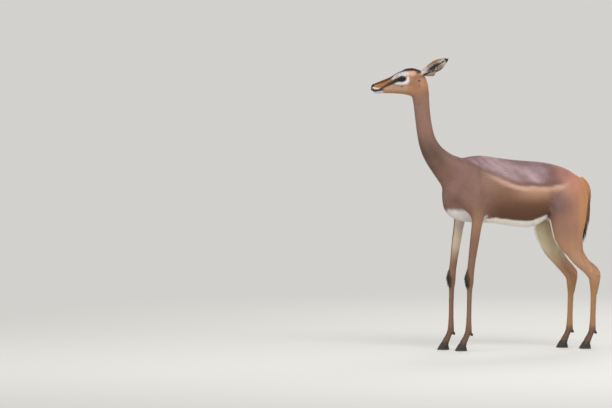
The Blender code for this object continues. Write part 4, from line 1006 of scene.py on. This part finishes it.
def grown(name, grow, seed, tuft=short_tuft, tilt=TILT, spread=SPREAD, lengths=(0.75, 1.25),
          size=None):
    """A piece of coat: tufts on the skin, as many per square metre as grow says at each point."""
    made = placed(name, skin.data.copy())
    keep(made.data, "grow", "FLOAT", "value", grow)
    if size is not None:
        keep(made.data, "hair", "FLOAT_VECTOR", "vector", size)
    made.modifiers.new("tufts", "NODES").node_group = tufting
    for key, value in (("Tuft", tuft), ("Hair", lock_hair), ("Seed", seed), ("Shortest", lengths[0]),
                       ("Longest", lengths[1]), ("Tilt", [0.0, -math.radians(tilt), 0.0]),
                       ("Spread", [math.radians(angle) for angle in spread])):
        made.modifiers["tufts"][TUFTING_INPUTS[key]] = value
    made.data.update()
    settled(made)
    for spare in ("root", "patch", "grow", "hair", "lie", "steep"):
        if spare in made.data.attributes:
            made.data.attributes.remove(made.data.attributes[spare])
    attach(made, "root")
    return made


COVER = 1.6  # how many tufts lie over each other
TUFT_FILL = 0.6  # of its length times its width
cover = COVER / (TUFT_FILL * hair[:, 0] * hair[:, 1])
bare = np.maximum(1 - ramp(nostril_line, 0.004, 0.007), 1 - ramp(lip_line, 0.0015, 0.003))
bare = np.maximum(bare, ramp(f, 0.1385, 0.1415) * ramp(up, -0.052, -0.048))  # the nose pad
bare = np.where(is_face, np.maximum(bare, lid_edge), 0)
cover = cover * (1 - bare_claw) * (1 + 0.2 * throat) * (1 - inner_ear) * (1 - bare)
BANDS = (("coat_shoulders", -1.0, 0.04), ("coat_flanks", 0.04, 0.22), ("coat_rump", 0.22, 1.0))
for seed, (name, low, high) in enumerate(BANDS):
    here = (kind == "torso") & (x >= low) & (x < high)
    grown(name, cover * here, 11 + seed)
grown("coat_neck", cover * is_part("neck"), 21)
for seed, (name, low, high) in enumerate((("coat_face", 0.03, 1.0), ("coat_skull", -1.0, 0.03))):
    here = (kind == "head") & (f >= low) & (f < high)
    grown(name, cover * here, 31 + seed)
grown("coat_ears", cover * is_part("ear"), 23)
grown("coat_tail", cover * is_part("tail"), 24)
for seed, leg in enumerate(("foreleg_left", "foreleg_right", "hindleg_left", "hindleg_right")):
    here = np.char.startswith(owner, leg)
    grown(f"coat_{leg}", cover * here, 25 + seed)

# The long hair: a black tuft on the tail, a dark brush on the front of each knee, white hair inside the
# ears and a short dark crest on the crown. It is made as the coat is, from longer locks that bend.


def long_hair(length, width, thick=0.0005):
    return np.column_stack([np.broadcast_to(value, len(points)) for value in (length, width, thick)])


TAIL_HAIRS, BRUSH_HAIRS, EAR_HAIRS, CREST_HAIRS = 105000, 130000, 150000, 170000  # per square metre
tuft_place = (kind == "tail") * ramp(z, 0.535, 0.545) * (1 - ramp(z, 0.66, 0.7))
tail_length = 0.07 + 0.022 * ramp(z, 0.56, 0.64)
grown("tail_tuft", TAIL_HAIRS * tuft_place, 41, long_tuft, 5.0, (60.0, 4.0, 6.0), (0.7, 1.1),
      long_hair(tail_length, 0.0021, 0.0007))
brush = (kind == "foreleg") * stripe(knee_line, z, KNEE_PATCH, 0.3) * ramp(-outward[:, 0], 0.1, 0.5)
grown("knee_brushes", BRUSH_HAIRS * brush * (z > 0.318), 42, long_tuft, 9.0,
      (40.0, 5.0, 12.0), (0.7, 1.1), long_hair(0.026, 0.0013))
ear_depth = inner_ear * ramp(ear_share, 0.02, 0.08) * (1 - ramp(ear_share, 0.9, 0.97))
ear_length = 0.01 + 0.01 * ramp(np.abs(ear_cross), 0.004, 0.014) * (1 - ramp(ear_share, 0.55, 0.9))
grown("ear_hair", EAR_HAIRS * ear_depth, 43, long_tuft, 7.0, (40.0, 5.0, 14.0), (0.6, 1.1),
      long_hair(ear_length, 0.0009, 0.0003))
crest = (kind == "head") * stripe(f, drop, ((-0.005, 0, 0.004), (-0.035, 0, 0.009), (-0.07, 0, 0.008)), 0.4)
crest = np.maximum(crest, (kind == "head") * patch(f, up, (-0.08, 0.0315), (0.013, 0.0085), 0.4))
grown("crown_hair", CREST_HAIRS * crest, 44, long_tuft, 11.0, (40.0, 6.0, 16.0), (0.6, 1.1),
      long_hair(0.0125, 0.001))


# The eyes. Large dark balls with a clear bulging front, set between the lids. The pupil is long and lies
# level, with a brown ring round it.
IRIS = 0.82  # of the ball's radius
PUPIL = (0.46, 0.24)  # half its length and height, of the ball's radius
GAZE_AHEAD = math.radians(12)
BULGE, BULGE_RISE = 0.0008, (0.55, 0.95)  # how far the front bulges, and where it rises, of the radius
# The cornea is wet and clear, so it mirrors the lamps over a dark brown depth
eye_shine, tree, shader = finish("eyeball", {"Roughness": 0.5, "Specular IOR Level": 0.0, "Coat Weight": 1.0,
                                             "Coat Roughness": 0.02, "Coat IOR": 1.376})
gaze = node(tree, "ShaderNodeAttribute", attribute_name="gaze")
in_iris, in_slit = (
    node(tree, "ShaderNodeVectorMath", {0: gaze.outputs["Vector"], 1: (1 / wide, 1 / tall, 0)},
         operation="MULTIPLY")
    for wide, tall in ((IRIS, IRIS), PUPIL)
)
from_middle = node(tree, "ShaderNodeVectorMath", {0: in_iris}, operation="LENGTH")
from_slit = node(tree, "ShaderNodeVectorMath", {0: in_slit}, operation="LENGTH")
spokes = node(tree, "ShaderNodeVectorMath", {0: in_iris}, operation="NORMALIZE")
fibres = node(tree, "ShaderNodeTexNoise", {"Vector": spokes, "Scale": 9.0, "Detail": 3.0})
brown = node(tree, "ShaderNodeMix", {0: fibres, "A": opaque("#140b06"), "B": opaque("#2f1c0f")},
             data_type="RGBA")
in_ring = node(tree, "ShaderNodeMapRange",
               {"Value": from_middle.outputs["Value"], "From Min": 0.86, "From Max": 1.0})
ring = node(tree, "ShaderNodeMix", {0: in_ring, "A": brown.outputs[2], "B": opaque("#080605")},
            data_type="RGBA")
in_pupil = node(tree, "ShaderNodeMapRange",
                {"Value": from_slit.outputs["Value"], "From Min": 0.9, "From Max": 1.08})
ball_tone = node(tree, "ShaderNodeMix", {0: in_pupil, "A": opaque("#020203"), "B": ring.outputs[2]},
                 data_type="RGBA")
tree.links.new(ball_tone.outputs[2], shader.inputs["Base Color"])

for turn, name in ((1, "eye_left"), (-1, "eye_right")):
    out_way = (LEFTWARD * turn * math.cos(GAZE_AHEAD) + AHEAD * math.sin(GAZE_AHEAD)).normalized()
    level_way = UPWARD.cross(out_way).normalized()
    axes = Matrix((level_way, out_way.cross(level_way), out_way))
    middle = (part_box(name)[0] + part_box(name)[1]) / 2
    ball = bmesh.new()
    bmesh.ops.create_uvsphere(ball, u_segments=64, v_segments=48, radius=EYE_RADIUS)
    local = ball.verts.layers.float_vector.new("gaze")
    for vert in ball.verts:
        vert[local] = vert.co / EYE_RADIUS
        rise = ramp(vert.co.z / EYE_RADIUS, *BULGE_RISE)
        vert.co = middle + axes.transposed() @ (vert.co * (1 + rise * BULGE / EYE_RADIUS))
    eye = placed(name + "_ball", as_mesh(name + "_ball", ball))
    eye.data.shade_smooth()
    eye.data.materials.append(eye_shine)
    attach(eye, "root")
    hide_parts(name)

# The lashes. Stiff, black and a little curled, they stand out over each eye from the upper lid's edge. Each
# is one long tuft, thinned and turned, and all of them make one piece.
LASHES = 34
LASH_SIZE = (0.0085, 0.00055, 0.00035)
LASH_BALL, LASH_RAISE = 0.0192, 0.0012  # they root this far from the eye's middle, and above the lid's edge
LASH_FAN, LASH_STRAY = 28, 0.08  # how much they spread towards the corners of the eye, and stray
LASH_LIFT, LASH_DROOP = 0.1, 0.35  # their rise at the front corner, and how much less it is at the back
UPPER_LID = LIDS[:5]
lid_reach = np.linspace(0, 1, len(UPPER_LID))
draw = np.random.default_rng(7)
lashes = bmesh.new()
for turn in (1, -1):
    for k in range(LASHES):
        at = np.clip((k + draw.uniform(-0.3, 0.3)) / (LASHES - 1), 0, 1)
        ahead, high = (np.interp(at, lid_reach, column) for column in zip(*UPPER_LID))
        high += LASH_RAISE
        out_to = math.sqrt(LASH_BALL**2 - ahead**2 - high**2)
        root = FACE + AHEAD * ahead + LEFTWARD * turn * (EYE_SIDE + out_to) + Vector((0, 0, high))
        way = LEFTWARD * turn + AHEAD * (ahead * LASH_FAN + draw.uniform(-LASH_STRAY, LASH_STRAY))
        way += Vector((0, 0, LASH_LIFT - LASH_DROOP * at))
        way.normalize()
        rise = (UPWARD - way * UPWARD.dot(way)).normalized()
        turned = Matrix((way, rise.cross(way), rise)).transposed()
        scale = Matrix.Diagonal(Vector(LASH_SIZE) * draw.uniform(0.75, 1.1))
        lash = bmesh.new()
        lash.from_mesh(long_tuft.data)
        set_in = Matrix.Translation(root) @ (turned @ scale).to_4x4()
        bmesh.ops.transform(lash, matrix=set_in, verts=lash.verts)
        mesh = as_mesh("lash", lash)
        lashes.from_mesh(mesh)
        bpy.data.meshes.remove(mesh)
# Stiff black hair with a slight gloss, paler towards its tips
lash_black, tree, shader = finish("lash_hair", {"Roughness": 0.4})
share = node(tree, "ShaderNodeAttribute", attribute_name="share")
black = node(tree, "ShaderNodeMix",
             {0: share.outputs["Fac"], "A": opaque("#0b0909"), "B": opaque("#2a211c")}, data_type="RGBA")
tree.links.new(black.outputs[2], shader.inputs["Base Color"])
eyelashes = placed("eyelashes", as_mesh("eyelashes", lashes))
eyelashes.data.shade_smooth()
eyelashes.data.materials.append(lash_black)
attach(eyelashes, "root")


# The hooves. Each foot has two narrow pointed claws of dark horn, ringed where they grew and worn pale at
# the floor, and two small dewclaws behind the fetlock. A claw's top is hidden in the hair of the pastern.
HOOF_WIDTH = 0.0205
CORONET, CORONET_SLOPE = 0.024, 0.35  # height of its upper edge in the middle, and its climb to the toe
HOOF = (
    # share of the height, reach ahead to the toe and back to the heel, share of the width
    (0.0, 0.0322, 0.0184, 0.96),
    (0.04, 0.0329, 0.019, 1.0),
    (0.35, 0.0275, 0.0185, 1.0),
    (0.7, 0.021, 0.0175, 0.96),
    (1.0, 0.0158, 0.0162, 0.91),
    (1.2, 0.0125, 0.0135, 0.74),
)
RINGS_UP, RINGS_ROUND = 22, 40
DEWCLAW = (0.0088, 0.005, 0.0053)  # half its length, width and thickness
DEWCLAW_PITCH, DEWCLAW_TAPER = math.radians(62), 0.35
SOLE_EDGE = math.radians(50)  # an edge sharper than this stays sharp
# Horn: smooth dull keratin, near black, with fine growth rings
horn, tree, shader = finish("hoof_horn", {"Roughness": 0.42, "IOR": 1.54})
place = node(tree, "ShaderNodeTexCoord")
RING_SPACING, FIBRE_WIDTH = 0.0022, 0.0007
patterns = []
for scale in ((0.03, 0.03, RING_SPACING), (FIBRE_WIDTH, FIBRE_WIDTH, 0.02)):
    stretched = node(tree, "ShaderNodeMapping", {"Vector": place.outputs["Object"], "Scale": scale},
                     vector_type="TEXTURE")
    patterns.append(node(tree, "ShaderNodeTexNoise", {"Vector": stretched, "Scale": 1.0, "Detail": 2.0}))
ringed, fibred = patterns
grain = node(tree, "ShaderNodeMath", {0: fibred, 1: 0.35, 2: ringed}, operation="MULTIPLY_ADD")
streaked = node(tree, "ShaderNodeMapRange", {"Value": grain, "From Min": 0.45, "From Max": 0.95})
dark = node(tree, "ShaderNodeMix", {0: streaked, "A": opaque("#15120f"), "B": opaque("#3a332c")},
            data_type="RGBA")
height = node(tree, "ShaderNodeSeparateXYZ", {0: place.outputs["Object"]})
worn = node(tree, "ShaderNodeMapRange", {"Value": height.outputs["Z"], "From Min": 0.0005, "From Max": 0.006,
                                         "To Min": 0.75, "To Max": 0.0})
dusty = node(tree, "ShaderNodeMix", {0: worn, "A": dark.outputs[2], "B": opaque("#6b5c4b")},
             data_type="RGBA")
ridge = node(tree, "ShaderNodeBump", {"Height": grain, "Distance": 0.0005, "Strength": 0.6})
tree.links.new(dusty.outputs[2], shader.inputs["Base Color"])
tree.links.new(ridge.outputs[0], shader.inputs["Normal"])

TOE_POWERS, HEEL_POWERS = (1.15, 1.25), (0.9, 0.85)  # they draw a pointed toe and a blunt heel
shares = np.linspace(0, HOOF[-1][0], RINGS_UP)
hoof_shares, *hoof_sizes = zip(*HOOF)
angle = np.arange(RINGS_ROUND) * 2 * math.pi / RINGS_ROUND
c, s = np.cos(angle), np.sin(angle)
for foot, nodes_here in FEET.items():
    drawn = bmesh.new()
    for dewclaw in dewclaws[foot]:
        lump = bmesh.ops.create_uvsphere(drawn, u_segments=20, v_segments=14, radius=1.0)["verts"]
        for vert in lump:
            vert.co = Vector((vert.co.z, vert.co.y, vert.co.x))
            vert.co.yz *= 1 - DEWCLAW_TAPER * max(vert.co.x, 0)
            at = Vector(a * b for a, b in zip(vert.co, DEWCLAW))
            vert.co = dewclaw + Matrix.Rotation(DEWCLAW_PITCH, 3, "Y") @ at
    for name in nodes_here:
        low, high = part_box(name)
        middle = Vector((low.x + TOE_REACH, (low.y + high.y) / 2, 0))
        levels = []
        for share in shares:
            toe, heel, wide = (np.interp(share, hoof_shares, column) for column in hoof_sizes)
            ahead = np.where(c > 0, toe * np.abs(c) ** TOE_POWERS[0], -heel * np.abs(c) ** HEEL_POWERS[0])
            across = np.sign(s) * np.abs(s) ** np.where(c > 0, TOE_POWERS[1], HEEL_POWERS[1])
            across = HOOF_WIDTH / 2 * wide * across
            tall = share * (CORONET + CORONET_SLOPE * ahead)
            levels.append([drawn.verts.new(middle + Vector(at)) for at in zip(-ahead, across, tall)])
        for below, above in zip(levels, levels[1:]):
            for k in range(RINGS_ROUND):
                drawn.faces.new((below[k - 1], below[k], above[k], above[k - 1]))
        drawn.faces.new(levels[0])
        drawn.faces.new(levels[-1])
    bmesh.ops.recalc_face_normals(drawn, faces=drawn.faces)
    mesh = as_mesh(f"hooves_{foot}", drawn)
    mesh.shade_smooth()
    mesh.set_sharp_from_angle(angle=SOLE_EDGE)
    mesh.materials.append(horn)
    claws = placed(mesh.name, mesh)
    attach(claws, "root")
    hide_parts(*nodes_here)


for shape in (short_tuft, long_tuft):
    bpy.data.objects.remove(shape)

size = {"cad": [list(cad_low), list(cad_high)], "visual": [list(corner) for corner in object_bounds()]}
